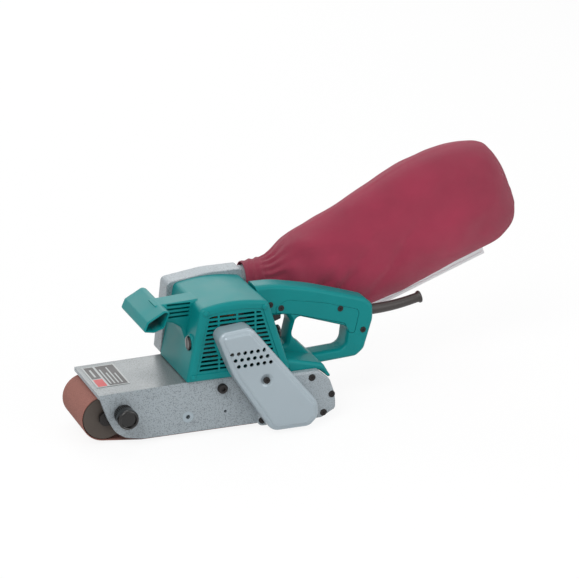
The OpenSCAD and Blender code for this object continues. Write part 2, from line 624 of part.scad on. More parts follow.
// Brush gear lies along X at the commutator. Each side runs out from the motor's axis
module brush_side(side)
  translate([motor_x, commutator_y, motor_z]) rotate([0, side > 0 ? 0 : 180, 0]) children();
function brush_end(side) = side > 0 ? brush_rear - motor_x : motor_x - brush_front;
module tube_x(r_in, r_out, x0, x1) difference() {
  bar(0, 0, r_out, x0, x1);
  bar(0, 0, r_in, x0 - 1, x1 + 1);
}
module brush_holders() color("saddlebrown")
  for (s = [-1, 1]) brush_side(s) tube_x(5, 6.8, 14, brush_end(s) - 2);
module carbon_brushes() color("black")
  for (s = [-1, 1]) brush_side(s) block(12.2, 24, -3.2, 3.2, -3, 3);
module brush_springs() color("silver")
  for (s = [-1, 1]) brush_side(s) tube_x(2.2, 3, 24.2, brush_end(s) - 9.2);
module brush_caps() color("black") for (s = [-1, 1]) brush_side(s) difference() {
  union() {
    bar(0, 0, 4.8, brush_end(s) - 9, brush_end(s) + 0.5);
    bar(0, 0, cap_r, brush_end(s) + seat, brush_end(s) + 2.6);
  }
  block(brush_end(s) + 1.6, brush_end(s) + 3, -0.8, 0.8, -6, 6);
}

// ---------- dust fan casing ----------
fan_in = body_far + 0.2;
fan_out = fan_in + fan_case_d;
fan_screw_at = [[-8, 76], [84, 76], [2, 143], [76, 149]];
module fan_casing() color("silver") difference() {
  union() {
    difference() {
      across(fan_in, fan_out - 2.6) polygon(rounded(fan_shape));
      across(fan_in + 2.5, fan_out) polygon(rounded(inset(fan_shape, 2.5)));
    }
    for (p = fan_screw_at) rod(p, 4, fan_in + 1, fan_out - 2.6);
    nozzle_oval(0, nozzle_x - 1, nozzle_x + nozzle_l);
  }
  nozzle_oval(-2.2, nozzle_x - 4, nozzle_x + nozzle_l + 1);
  block(nozzle_x - 2, nozzle_x + seat, fan_out - 2.6, fan_out + 1, 110, 170);
  rod(motor, 12, fan_in - 1, fan_in + 3);
  for (p = fan_screw_at) rod(p, case_screw_r + seat, fan_in - 1, fan_out);
}
module fan_casing_cover() color("silver") difference() {
  across(fan_out - 2.5, fan_out) polygon(rounded(fan_shape));
  for (p = fan_screw_at) rod(p, case_screw_r + seat, fan_in - 1, fan_out + 1);
}

// ---------- handle ----------
handle_half = handle_w / 2;
module handle_body() color("teal") difference() {
  union() {
    difference() {
      across(-handle_half, handle_half) polygon(rounded(handle_shape));
      across(-handle_half - 1, handle_half + 1) polygon(rounded(grip_hole));
      across(-handle_half - 1, handle_half + 1) polygon(rounded(trigger_gap));
    }
    difference() {
      across(plate_out + 0.5, deck_far - 0.5) polygon(rounded(hood_shape));
      across(plate_out + 0.5 + shell_t, deck_far - 0.5 - shell_t) polygon(rounded(hood_hollow));
    }
  }
  across(body_near - 1, body_far + 1) polygon([[60, 60], [107.2, deck_z - 4], [107.2, deck_z + seat], [80.7, 151.3], [80.4, 158], [60, 158]]);
  across(-handle_half + 2.6, handle_half - handle_t) polygon(rounded(cavity_shape));
  across(-handle_half - 1, -handle_half + 2.7) polygon(rounded(panel_shape));
  block(96.5, 114.5, -5.3, 5.3, 105, 134);
  bar(0, guard_z, guard_r + seat, 203, 230);
  bar(0, guard_z, guard_r + 2, 203, 206.2);
  rod([152, 128], 3.6, handle_half - handle_t - 1, handle_half + 1);
  for (p = handle_screw_at) rod(p, screw_head_r + seat, -handle_half - 1, -handle_half + 1.6);
  for (p = handle_screw_at) rod(p, 1.6, -handle_half, 6);
}
handle_screw_at = [[97.6, 130.4], [110.6, 125], [182.4, 115.5], [210.4, 86.5]];
module handle_cover() color("teal") difference() {
  across(-handle_half + 0.1, -handle_half + 2.5) polygon(rounded(inset(panel_shape, seat)));
  for (p = [handle_screw_at[1], handle_screw_at[2]]) rod(p, screw_head_r + seat, -handle_half - 1, -handle_half + 1.6);
  for (p = [handle_screw_at[1], handle_screw_at[2]]) rod(p, 1.6 + seat, -handle_half - 1, -handle_half + 3);
}
module handle_screws() color("black") for (p = handle_screw_at) difference() {
  union() {
    rod(p, screw_head_r, -handle_half - 0.4, -handle_half + 1.5);
    rod(p, 1.5, -handle_half + 1.5, p.x > 200 ? -2 : -handle_half + 6);
  }
  block(p.x - 2, p.x + 2, -handle_half - 1, -handle_half + 0.6, p.y - 0.4, p.y + 0.4);
  block(p.x - 0.4, p.x + 0.4, -handle_half - 1, -handle_half + 0.6, p.y - 2, p.y + 2);
}
module switch_body() color("dimgray") difference() {
  block(117, 144, -handle_half + 2.8, handle_half - handle_t - 0.2, 120.5, 134);
  block(138, 150, -20, 20, 132, 140);
}
module trigger() color("black") across(-5, 5) polygon(rounded([
  [97.2, 109, 2], [104, 105.6, 9], [113.8, 109, 2], [113.8, 127, 1], [97.2, 127, 1]]));
module lock_button() color("black") {
  rod([152, 128], 3.3, handle_half - handle_t - 0.5, handle_half + 3.6);
  rod([152, 128], 4.6, handle_half - handle_t - 2.6, handle_half - handle_t - 0.3);
}
module capacitor() color("gold") bar(0, 123.5, 4.5, 144.1, 164);
module cord_clamp() color("black") block(194.5, 198, -handle_half + 2.8, handle_half - handle_t - 0.3, 97, 109.5);

// The guard steps in twice on its way out: straight, curved, then straight to the tip
module guard_part(r, past) {
  lap = 0.5;
  bar(0, guard_z, r, 203 - past, guard_x + lap);
  translate([guard_x, 0, guard_z + guard_bend]) rotate([90, 0, 0]) rotate([0, 0, -90])
    rotate_extrude(angle = guard_turn, $fn = 360) translate([guard_bend, 0]) circle(r = r - guard_step, $fn = 48);
  guard_end() translate([-lap, 0, 0]) rotate([0, 90, 0]) cylinder(r = r - 2 * guard_step, h = guard_tip + lap + past);
}
module guard_end() {
  translate([guard_x + guard_bend * sin(guard_turn), 0, guard_z + guard_bend * (1 - cos(guard_turn))])
    rotate([0, -guard_turn, 0]) children();
}
module cord_guard() color("black") difference() {
  union() {
    guard_part(guard_r, 0);
    bar(0, guard_z, guard_r + 1.8, 203.3, 206.1);
    guard_end() translate([guard_tip - 3.4, 0, 0]) rotate([0, 90, 0]) cylinder(r = guard_r + 1, h = 3.4);
  }
  guard_part(cord_r + 2 * guard_step, 1);
}

// ---------- dust bag ----------
// Upper and lower points of the bag's profile, with its half thickness
bag_low_y = nozzle_y + 3;
bag_rings = [
  [[92, 161.2], [92, 118.8], 17.6], [[106, 162], [109, 118.2], 17.8], [[120, 167], [130, 110], 24],
  [[150, 184], [160, 95], 32], [[190, 206], [206, 86], 37], [[240, 232], [262, 98.8], bag_half],
  [[290, 257], [315, 117.5], bag_half + 1], [[335, 273], [365, 136.5], bag_half + 1],
  [[372, 274], [404, 151], bag_half - 2], [[398, 254], [424, 168], bag_half - 12],
  [[413, 230], [432, 192], bag_half - 28]];
function bag_ring(s, w, slip) =
  let (mid = (s[0] + s[1]) / 2, up = (s[0] - s[1]) / 2, n = 32, side = unit([up.y, -up.x]))
  [for (i = [0:n - 1]) let (a = 360 * i / n,
     p = mid + side * slip + up * (1 - w / norm(up)) * cos(a))
    [p.x, (s[0].x < 110 ? nozzle_y : bag_low_y) - (s[2] - w) * sin(a), p.y]];
module dust_bag() color("crimson") difference() {
  skin([for (s = bag_rings) bag_ring(s, 0, 0)]);
  skin([for (i = [0:len(bag_rings) - 1])
    bag_ring(bag_rings[i], cloth_t, i == 0 ? -1 : i == len(bag_rings) - 1 ? -cloth_t : 0)]);
}
module bag_collar() color("black") difference() {
  nozzle_oval(2.4, nozzle_x + 8.5, nozzle_x + 22);
  nozzle_oval(0.15, nozzle_x + 8, nozzle_x + 23);
}
rail_angle = 20.2;
rail_l = 178;
module bag_rail() color("white") translate([222, bag_low_y, 82.9]) rotate([0, -rail_angle, 0]) difference() {
  block(0, rail_l, -5, 5, -8, 0);
  block(-1, rail_l + 1, -1.2, 1.2, -6, 1);
  for (s = [-1, 1]) block(-1, rail_l + 1, s > 0 ? 4 : -5.5, s > 0 ? 5.5 : -4, -5, -2);
}

// ---------- trim and fasteners ----------
module nameplate() color("gray") translate([-73, 0, deck_z - deck_drop * 57 / 100.3 - 0.05])
  rotate([0, -atan(deck_drop / (deck_front + body_front)), 0]) block(-38, 0, -28, 36, 0.12, 0.6);
module case_screws() color("dimgray") {
  for (p = case_screw_at) {
    rod(p, 3.8, case_out, case_out + 1.9);
    rod(p, case_screw_r, case_out + 1.9, plate_in - 0.5);
  }
  for (p = fan_screw_at) {
    rod(p, 3.8, fan_out + 0.05, fan_out + 2.4);
    rod(p, case_screw_r, fan_in, fan_out + 0.05);
  }
  for (p = end_screw_at) {
    rod(p, 3.2, end_out - 1.6, end_out - 0.05);
    rod(p, case_screw_r - 0.05, end_out - 0.05, body_near + 10);
  }
}
module frame_bolt() color("black") {
  rod([26.6, 53.5], 5.6, plate_out - 4.6, plate_out - 0.05);
  rod([26.6, 53.5], 3, plate_out - 0.05, plate_in + 3);
}

main_frame();
gear_case();
platen();
platen_pad();
graphite_sheet();
sanding_belt();
front_roller();
front_roller_bearings();
front_roller_axle();
roller_arm();
arm_pivot_pin();
tension_carriage();
tension_spring();
tension_lever();
lever_pin();
tracking_knob();
tracking_screw();
drum_core();
drum_lagging();
drum_shaft();
drum_bearings();
drum_gear();
pinion_shaft();
pinion_bearings();
large_pulley();
small_pulley();
drive_belt();
belt_cover();
belt_cover_screw();
motor_housing();
motor_end_cover();
stator_core();
field_coils();
armature_shaft();
armature_core();
commutator();
cooling_fan();
motor_bearings();
brush_holders();
carbon_brushes();
brush_springs();
brush_caps();
dust_fan();
fan_casing();
fan_casing_cover();
handle_body();
handle_cover();
switch_body();
trigger();
lock_button();
capacitor();
cord_guard();
cord_clamp();
dust_bag();
bag_collar();
bag_rail();
nameplate();
handle_screws();
case_screws();
frame_bolt();
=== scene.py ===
"""Handheld belt sander: the visible model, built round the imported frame.

Sizes are in millimetres and become metres as each mesh is made. +X points to the rear handle, +Z up
and -Y to the side with the belt drive. The origin is the centre of the sanding face.
"""

import logging
import math
from collections.abc import Sequence
from dataclasses import dataclass, field
from enum import Enum

import bmesh
import bpy
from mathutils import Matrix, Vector, noise

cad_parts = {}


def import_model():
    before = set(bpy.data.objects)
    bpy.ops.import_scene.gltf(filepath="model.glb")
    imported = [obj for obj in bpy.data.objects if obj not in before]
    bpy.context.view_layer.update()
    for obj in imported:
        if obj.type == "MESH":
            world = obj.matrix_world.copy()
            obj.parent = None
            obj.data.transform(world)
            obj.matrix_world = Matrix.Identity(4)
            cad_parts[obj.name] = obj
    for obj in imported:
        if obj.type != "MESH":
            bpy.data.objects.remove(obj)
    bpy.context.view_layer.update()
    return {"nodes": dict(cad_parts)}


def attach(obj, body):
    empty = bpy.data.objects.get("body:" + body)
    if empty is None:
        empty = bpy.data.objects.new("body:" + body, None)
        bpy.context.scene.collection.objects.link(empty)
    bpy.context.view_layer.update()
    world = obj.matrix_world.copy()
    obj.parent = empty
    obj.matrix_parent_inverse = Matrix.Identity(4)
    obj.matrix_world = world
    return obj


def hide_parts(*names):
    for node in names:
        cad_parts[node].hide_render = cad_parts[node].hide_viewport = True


LOG = logging.getLogger("belt_sander")
MM = 0.001
# Points nearer than WELD become one, and edges shorter than SLIVER go, both in metres.
WELD = 1e-6
SLIVER = 1e-7
# Edges sharper than these angles, in degrees, stay sharp in shading or get a bevel.
SHARP_EDGE = 32.0
BEVELLED_EDGE = 50.0
# Sides of a plain round, and how much of a rim's inset the holes through it take.
ROD_SIDES = 40
HOLE_SHARE = 0.6
# The turn that lays an upright piece along Y, and the directions across and along the machine.
TIPPED = (math.pi / 2, 0.0, 0.0)
NEARWARD = Vector((0, -1, 0))
FARWARD = Vector((0, 1, 0))
REARWARD = Vector((1, 0, 0))
# Near-black colour that surfaces darken towards, in patches, on the lowest 5 cm of the machine.
LOW_DARK_COLOUR = (0.05, 0.045, 0.04, 1.0)
WHITE = (1.0, 1.0, 1.0, 1.0)

Corner = tuple[float, float, float]
Pair = tuple[float, float]
Outline = Sequence[Corner]
Pairs = Sequence[Pair]

SOCKETS = {int: "NodeSocketInt", float: "NodeSocketFloat", tuple: "NodeSocketVector"}


class Axis(Enum):
    """The direction in which an outline is drawn out."""

    ALONG_X = "x"
    ALONG_Y = "y"

    def place(self, across: float, up: float, at: float) -> Vector:
        """Puts a point of an outline in space.

        Args:
            across: first coordinate of the outline, in millimetres.
            up: second coordinate of the outline, in millimetres.
            at: distance along the axis, in millimetres.

        Returns:
            The point in metres.
        """
        if self is Axis.ALONG_X:
            return Vector((at, across, up)) * MM
        return Vector((across, at, up)) * MM


class Join(Enum):
    """How one solid is combined with another."""

    CUT = "DIFFERENCE"
    ADD = "UNION"
    KEEP_COMMON = "INTERSECT"


class Facing(Enum):
    """The way a screw's head points, as the turn that brings it there."""

    NEAR = TIPPED
    FAR = (-math.pi / 2, 0.0, 0.0)


class Surface(Enum):
    """The small-scale character of a finish."""

    HAMMERED = "hammered"
    MOULDED = "moulded"
    SATIN = "satin"
    TURNED = "turned"
    GRIT = "grit"
    CLOTH = "cloth"
    RUBBER = "rubber"


# ---------- shader and geometry node trees ----------


class Graph:
    """A node tree that is being drawn up."""

    def __init__(self, tree: bpy.types.NodeTree) -> None:
        """Starts on an empty tree."""
        self.tree = tree

    @classmethod
    def of(cls, owner: bpy.types.Material | bpy.types.World) -> "Graph":
        """Starts on the emptied tree of a material or a world.

        Args:
            owner: what the tree belongs to.

        Returns:
            The graph.
        """
        owner.use_nodes = True
        owner.node_tree.nodes.clear()
        return cls(owner.node_tree)

    def add(self, kind: str, inputs: dict | None = None, **settings: object) -> bpy.types.Node:
        """Adds a node.

        Args:
            kind: the node's type.
            inputs: socket name or number to a value or to another node's socket.
            **settings: properties of the node, set before its sockets.

        Returns:
            The node.
        """
        node = self.tree.nodes.new(kind)
        for name, value in settings.items():
            setattr(node, name, value)
        for name, value in (inputs or {}).items():
            self.feed(node.inputs[name], value)
        return node

    def feed(self, socket: bpy.types.NodeSocket, value: object) -> None:
        """Links a socket to another, or sets its value."""
        if isinstance(value, bpy.types.NodeSocket):
            self.tree.links.new(value, socket)
        else:
            socket.default_value = value

    def maths(self, first: object, second: object, operation: str = "ADD") -> bpy.types.NodeSocket:
        """A Math node's result.

        Args:
            first: a number or a socket.
            second: a number or a socket.
            operation: the node's operation.

        Returns:
            The result's socket.
        """
        node = self.tree.nodes.new("ShaderNodeMath")
        node.operation = operation
        self.feed(node.inputs[0], first)
        self.feed(node.inputs[1], second)
        return node.outputs[0]

    def mix(self, factor: object, first: object, second: object) -> bpy.types.NodeSocket:
        """A colour between two others.

        Args:
            factor: share of the second colour.
            first: colour or socket at 0.
            second: colour or socket at 1.

        Returns:
            The mixed colour's socket.
        """
        node = self.tree.nodes.new("ShaderNodeMix")
        node.data_type = "RGBA"
        self.feed(node.inputs["Factor"], factor)
        self.feed(node.inputs[6], first)
        self.feed(node.inputs[7], second)
        return node.outputs[2]


def shared_group(name: str, inputs: dict[str, float | None], outputs: Sequence[str]) -> tuple:
    """Starts a shader node group.

    Args:
        name: the group's name.
        inputs: name of each input to its default, or to None for a vector.
        outputs: names of the outputs, which are all numbers.

    Returns:
        The tree, its Graph, its input node and its output node.
    """
    tree = bpy.data.node_groups.new(name, "ShaderNodeTree")
    for label, value in inputs.items():
        kind = SOCKETS[tuple if value is None else float]
        socket = tree.interface.new_socket(name=label, in_out="INPUT", socket_type=kind)
        if value is not None:
            socket.default_value = value
    for label in outputs:
        tree.interface.new_socket(name=label, in_out="OUTPUT", socket_type=SOCKETS[float])
    graph = Graph(tree)
    return tree, graph, graph.add("NodeGroupInput"), graph.add("NodeGroupOutput")


class Effects:
    """The shader effects that several finishes share, each one a node group."""

    def __init__(self) -> None:
        """Builds every group once."""
        self.mottle = self._mottle()
        self.flecks = self._flecks()
        self.weave = self._weave()
        self.low_darkening = self._low_darkening()

    @staticmethod
    def _mottle() -> bpy.types.NodeTree:
        """Slow cloudy variation, and a fine height for bump."""
        tree, graph, given, result = shared_group(
            "mottle", {"Vector": None, "Broad": 20.0, "Fine": 800.0}, ("Cloud", "Height")
        )
        broad = graph.add(
            "ShaderNodeTexNoise", {"Vector": given.outputs[0], "Scale": given.outputs[1], "Detail": 3.0}
        )
        fine = graph.add(
            "ShaderNodeTexNoise", {"Vector": given.outputs[0], "Scale": given.outputs[2], "Detail": 4.0}
        )
        graph.feed(result.inputs[0], broad.outputs[0])
        graph.feed(result.inputs[1], fine.outputs[0])
        return tree

    @staticmethod
    def _flecks() -> bpy.types.NodeTree:
        """Small dark pits and the beaten height of hammered enamel."""
        tree, graph, given, result = shared_group(
            "flecks", {"Vector": None, "Scale": 500.0, "Amount": 0.4}, ("Mask", "Height")
        )
        cells = graph.add("ShaderNodeTexVoronoi", {"Vector": given.outputs[0], "Scale": given.outputs[1]})
        grain = graph.add(
            "ShaderNodeTexNoise",
            {
                "Vector": given.outputs[0],
                "Scale": graph.maths(given.outputs[1], 1.7, "MULTIPLY"),
                "Detail": 2.0,
            },
        )
        pits = graph.add(
            "ShaderNodeMapRange", {0: grain.outputs[0], 1: 0.5, 2: 0.64, 3: 0.0, 4: given.outputs[2]}
        )
        graph.feed(result.inputs[0], pits.outputs[0])
        graph.feed(result.inputs[1], cells.outputs[0])
        return tree

    @staticmethod
    def _weave() -> bpy.types.NodeTree:
        """Crossing threads."""
        tree, graph, given, result = shared_group("weave", {"Vector": None, "Scale": 300.0}, ("Height",))
        waves = [
            graph.add(
                "ShaderNodeTexWave",
                {"Vector": given.outputs[0], "Scale": given.outputs[1], "Distortion": 0.6},
                bands_direction=way,
            )
            for way in ("X", "Y")
        ]
        graph.feed(result.inputs[0], graph.maths(waves[0].outputs[1], waves[1].outputs[1], "MULTIPLY"))
        return tree

    @staticmethod
    def _low_darkening() -> bpy.types.NodeTree:
        """Darker in noisy patches on the lowest 5 cm of the machine."""
        tree, graph, given, result = shared_group("low_darkening", {"Vector": None, "Amount": 0.1}, ("Mask",))
        parts = graph.add("ShaderNodeSeparateXYZ", {"Vector": given.outputs[0]})
        low = graph.add("ShaderNodeMapRange", {0: parts.outputs[2], 1: 0.05, 2: 0.0, 3: 0.0, 4: 1.0})
        patch = graph.add("ShaderNodeTexNoise", {"Vector": given.outputs[0], "Scale": 45.0, "Detail": 5.0})
        soft = graph.maths(low.outputs[0], patch.outputs[0], "MULTIPLY")
        graph.feed(result.inputs[0], graph.maths(soft, given.outputs[1], "MULTIPLY"))
        return tree


@dataclass(frozen=True)
class Finish:
    """One finish of the machine.

    The colour is given in display values from 0 to 255. Depths are in metres and scales are per metre.
    """

    name: str
    colour: tuple[int, int, int]
    surface: Surface
    roughness: float = 0.4
    metallic: float = 0.0
    coat: float = 0.0
    sheen: float = 0.0
    specular: float = 0.5
    variation: float = 0.12
    grain: float = 900.0
    depth: float = 0.00004
    low_darkening: float = 0.08
    spread: float = 0.06

    def linear(self, lift: float = 1.0) -> tuple[float, float, float, float]:
        """The colour as the shader takes it.

        Args:
            lift: factor on its brightness.

        Returns:
            Red, green, blue and alpha.
        """
        values = [min(1.0, (c / 255.0) * lift) for c in self.colour]
        lit = [v / 12.92 if v <= 0.04045 else ((v + 0.055) / 1.055) ** 2.4 for v in values]
        return (lit[0], lit[1], lit[2], 1.0)

    def build(self, effects: Effects) -> bpy.types.Material:
        """Makes the material.

        Args:
            effects: the shared node groups.

        Returns:
            The material.
        """
        material = bpy.data.materials.new(self.name)
        graph = Graph.of(material)
        shader = graph.add(
            "ShaderNodeBsdfPrincipled",
            {
                "Metallic": self.metallic,
                "Coat Weight": self.coat,
                "Coat Roughness": 0.15,
                "Sheen Weight": self.sheen,
                "Sheen Roughness": 0.5,
                "Specular IOR Level": self.specular,
            },
        )
        graph.add("ShaderNodeOutputMaterial", {"Surface": shader.outputs[0]})
        where = graph.add("ShaderNodeTexCoord").outputs["Object"]
        mottle = graph.add("ShaderNodeGroup", {"Vector": where, "Fine": self.grain}, node_tree=effects.mottle)
        cloud = graph.mix(
            mottle.outputs["Cloud"], self.linear(1.0 - self.variation), self.linear(1.0 + self.variation)
        )
        colour, height = self._detail(graph, effects, where, cloud, mottle.outputs["Height"])
        # Darker in noisy patches towards the bottom of the machine.
        low_darkening = graph.add("ShaderNodeGroup", {"Vector": where, "Amount": self.low_darkening}, node_tree=effects.low_darkening)
        graph.feed(shader.inputs["Base Color"], graph.mix(low_darkening.outputs["Mask"], colour, LOW_DARK_COLOUR))
        rough = graph.add(
            "ShaderNodeMapRange",
            {
                0: mottle.outputs["Cloud"],
                1: 0.3,
                2: 0.7,
                3: max(0.05, self.roughness - self.spread),
                4: min(1.0, self.roughness + self.spread),
            },
        )
        graph.feed(shader.inputs["Roughness"], rough.outputs[0])
        bump = graph.add("ShaderNodeBump", {"Strength": 1.0, "Distance": self.depth, "Height": height})
        graph.feed(shader.inputs["Normal"], bump.outputs[0])
        return material

    def _detail(
        self,
        graph: Graph,
        effects: Effects,
        where: bpy.types.NodeSocket,
        cloud: bpy.types.NodeSocket,
        fine: bpy.types.NodeSocket,
    ) -> tuple[bpy.types.NodeSocket, bpy.types.NodeSocket]:
        """Adds what the kind of surface needs.

        Args:
            graph: the material's tree.
            effects: the shared node groups.
            where: the coordinates.
            cloud: the colour so far.
            fine: the fine height.

        Returns:
            The colour and the height for bump.
        """
        if self.surface in (Surface.HAMMERED, Surface.GRIT):
            amount, shade = (0.5, 0.45) if self.surface is Surface.HAMMERED else (0.6, 0.6)
            inputs = {"Vector": where, "Scale": self.grain, "Amount": amount}
            flecks = graph.add("ShaderNodeGroup", inputs, node_tree=effects.flecks)
            dark = self.linear(shade)
            return graph.mix(flecks.outputs["Mask"], cloud, dark), flecks.outputs["Height"]
        if self.surface is Surface.TURNED:
            lines = graph.add(
                "ShaderNodeTexWave",
                {"Vector": where, "Scale": self.grain, "Distortion": 1.5},
                bands_direction="Y",
            )
            return cloud, lines.outputs[1]
        if self.surface is Surface.CLOTH:
            chart = graph.add("ShaderNodeUVMap", uv_map="cloth").outputs[0]
            thread = graph.add(
                "ShaderNodeGroup", {"Vector": chart, "Scale": self.grain}, node_tree=effects.weave
            )
            shade = graph.maths(thread.outputs["Height"], 0.35, "MULTIPLY")
            return graph.mix(shade, cloud, self.linear(0.78)), thread.outputs["Height"]
        return cloud, fine


FINISHES = (
    Finish(
        "hammered_silver",
        (166, 176, 182),
        Surface.HAMMERED,
        0.45,
        0.1,
        0.08,
        grain=560.0,
        depth=0.00014,
        variation=0.03,
    ),
    # A darker copy of hammered_silver for the top faces of the deck: painted shade on the same casting, not a
    # finish of its own.
    Finish(
        "painted_shade_deck_silver",
        (128, 134, 136),
        Surface.HAMMERED,
        0.36,
        0.35,
        0.1,
        grain=520.0,
        depth=0.00005,
        variation=0.04,
    ),
    Finish(
        "cover_silver",
        (168, 182, 190),
        Surface.SATIN,
        0.36,
        0.2,
        0.1,
        grain=500.0,
        depth=0.00002,
        variation=0.03,
    ),
    Finish(
        "teal_plastic",
        (8, 136, 137),
        Surface.MOULDED,
        0.4,
        0.0,
        0.0,
        specular=0.2,
        grain=1500.0,
        depth=0.00003,
        variation=0.05,
    ),
    Finish(
        "black_plastic",
        (17, 16, 16),
        Surface.MOULDED,
        0.3,
        0.0,
        0.0,
        specular=0.4,
        grain=1200.0,
        depth=0.00003,
    ),
    Finish("gloss_black", (12, 11, 11), Surface.MOULDED, 0.14, 0.0, 0.0, grain=600.0, depth=0.00001),
    Finish("dark_plastic", (62, 54, 50), Surface.MOULDED, 0.5),
    Finish("yellow_case", (196, 160, 60), Surface.MOULDED, 0.45),
    Finish("bright_steel", (172, 172, 176), Surface.TURNED, 0.28, 1.0, grain=900.0, depth=0.00001),
    Finish("laminated_steel", (98, 98, 104), Surface.TURNED, 0.5, 0.8, grain=1800.0, depth=0.00006),
    Finish("black_steel", (44, 42, 42), Surface.SATIN, 0.38, 0.6),
    Finish("turned_alloy", (150, 146, 142), Surface.TURNED, 0.42, 0.7, grain=700.0, depth=0.00002),
    Finish("roller_end", (84, 76, 70), Surface.TURNED, 0.6, 0.2, grain=600.0, depth=0.00002),
    Finish("copper", (186, 112, 66), Surface.TURNED, 0.35, 0.9, grain=1600.0, depth=0.00003),
    Finish("black_rubber", (30, 27, 26), Surface.RUBBER, 0.55, 0.0, grain=700.0, depth=0.00006),
    Finish("guard_rubber", (54, 48, 46), Surface.RUBBER, 0.4, 0.0, 0.1, grain=700.0, depth=0.00004),
    Finish(
        "abrasive_grit",
        (170, 118, 108),
        Surface.GRIT,
        0.85,
        0.0,
        specular=0.2,
        grain=900.0,
        depth=0.0003,
        variation=0.06,
        low_darkening=0.2,
    ),
    Finish(
        "bag_cloth",
        (170, 58, 84),
        Surface.CLOTH,
        0.82,
        0.0,
        sheen=0.25,
        specular=0.2,
        grain=520.0,
        depth=0.00025,
        variation=0.1,
        low_darkening=0.0,
    ),
    Finish("white_plastic", (243, 246, 248), Surface.MOULDED, 0.32, 0.0, 0.2, variation=0.02),
    Finish("label_foil", (150, 154, 154), Surface.SATIN, 0.4, 0.5, variation=0.04),
    Finish("label_dark", (58, 54, 54), Surface.SATIN, 0.45),
    Finish("label_red", (198, 52, 56), Surface.SATIN, 0.45, variation=0.04),
    Finish("cap_brown", (96, 34, 26), Surface.MOULDED, 0.4),
)


class Palette:
    """The finishes as materials, by name."""

    def __init__(self) -> None:
        """Builds every material."""
        effects = Effects()
        self.materials = {finish.name: finish.build(effects) for finish in FINISHES}

    def dress(self, obj: bpy.types.Object, name: str) -> bpy.types.Object:
        """Gives a piece one finish all over.

        Args:
            obj: the piece.
            name: the finish.

        Returns:
            The piece.
        """
        obj.data.materials.clear()
        obj.data.materials.append(self.materials[name])
        return obj


# ---------- outlines and solids ----------


def rounded(corners: Outline, steps: int = 6) -> list[Vector]:
    """Points of an outline with round corners.

    Args:
        corners: first and second coordinate and radius of each corner, anticlockwise.
        steps: sides of each round corner.

    Returns:
        The points.
    """
    points = []
    for index, (x, y, radius) in enumerate(corners):
        here = Vector((x, y))
        before = Vector(corners[index - 1][:2])
        after = Vector(corners[(index + 1) % len(corners)][:2])
        if radius <= 0:
            points.append(here)
            continue
        back, ahead = (before - here).normalized(), (after - here).normalized()
        half = back.angle(ahead) / 2
        middle = here + (back + ahead).normalized() * (radius / math.sin(half))
        first = here + back * (radius / math.tan(half)) - middle
        start = math.atan2(first.y, first.x)
        bend = (here - before).x * (after - here).y - (here - before).y * (after - here).x
        turn = math.copysign(math.pi - 2 * half, bend)
        for step in range(steps + 1):
            angle = start + turn * step / steps
            points.append(middle + radius * Vector((math.cos(angle), math.sin(angle))))
    return points


def inset(corners: Outline, width: float) -> Outline:
    """The same corners moved inwards, with the radii changed to match.

    Args:
        corners: the outline, anticlockwise.
        width: how far it moves. Below 0 it moves out.

    Returns:
        The moved outline.
    """
    moved = []
    for index, (x, y, radius) in enumerate(corners):
        here = Vector((x, y))
        u = (here - Vector(corners[index - 1][:2])).normalized()
        v = (Vector(corners[(index + 1) % len(corners)][:2]) - here).normalized()
        nu, nv = Vector((-u.y, u.x)), Vector((-v.y, v.x))
        place = here + (nu + nv) * (width / (1 + nu.dot(nv)))
        side = 1 if u.x * v.y - u.y * v.x > 0 else -1
        moved.append((place.x, place.y, 0 if radius <= 0 else max(0.3, radius - side * width)))
    return moved


def rim(start: float, end: float, near: Pair = (0, 0), far: Pair = (0, 0), steps: int = 5) -> Pairs:
    """Profile of a wall with rounded rims.

    Args:
        start: where the wall starts along its axis.
        end: where it ends.
        near: depth and width of the rounding at the start.
        far: depth and width of the rounding at the end.
        steps: sides of each rounding.

    Returns:
        Inset and distance along the axis, in order.
    """
    profile = []
    for step in range(steps + 1 if near[0] else 1):
        angle = math.pi / 2 * step / steps
        profile.append((near[1] * (1 - math.sin(angle)), start + near[0] * (1 - math.cos(angle))))
    for step in range(steps, -1, -1) if far[0] else (0,):
        angle = math.pi / 2 * step / steps
        profile.append((far[1] * (1 - math.sin(angle)), end - far[0] * (1 - math.cos(angle))))
    return profile


def placed(name: str, data: bpy.types.ID) -> bpy.types.Object:
    """Puts new data into the scene as an object.

    Args:
        name: the object's name.
        data: its mesh, lamp or camera.

    Returns:
        The object.
    """
    obj = bpy.data.objects.new(name, data)
    bpy.context.scene.collection.objects.link(obj)
    return obj


def as_object(name: str, mesh_data: bmesh.types.BMesh) -> bpy.types.Object:
    """Turns mesh data into a shaded object at the origin.

    Args:
        name: the piece's name.
        mesh_data: its mesh data, which is freed.

    Returns:
        The object.
    """
    mesh = bpy.data.meshes.new(name)
    mesh_data.to_mesh(mesh)
    mesh_data.free()
    return shade(placed(name, mesh))


def shade(obj: bpy.types.Object, sharp: float = SHARP_EDGE) -> bpy.types.Object:
    """Shades a piece smooth, except across its sharp edges.

    Args:
        obj: the piece.
        sharp: angle from which an edge is sharp, in degrees.

    Returns:
        The piece.
    """
    obj.data.shade_smooth()
    obj.data.set_sharp_from_angle(angle=math.radians(sharp))
    return obj


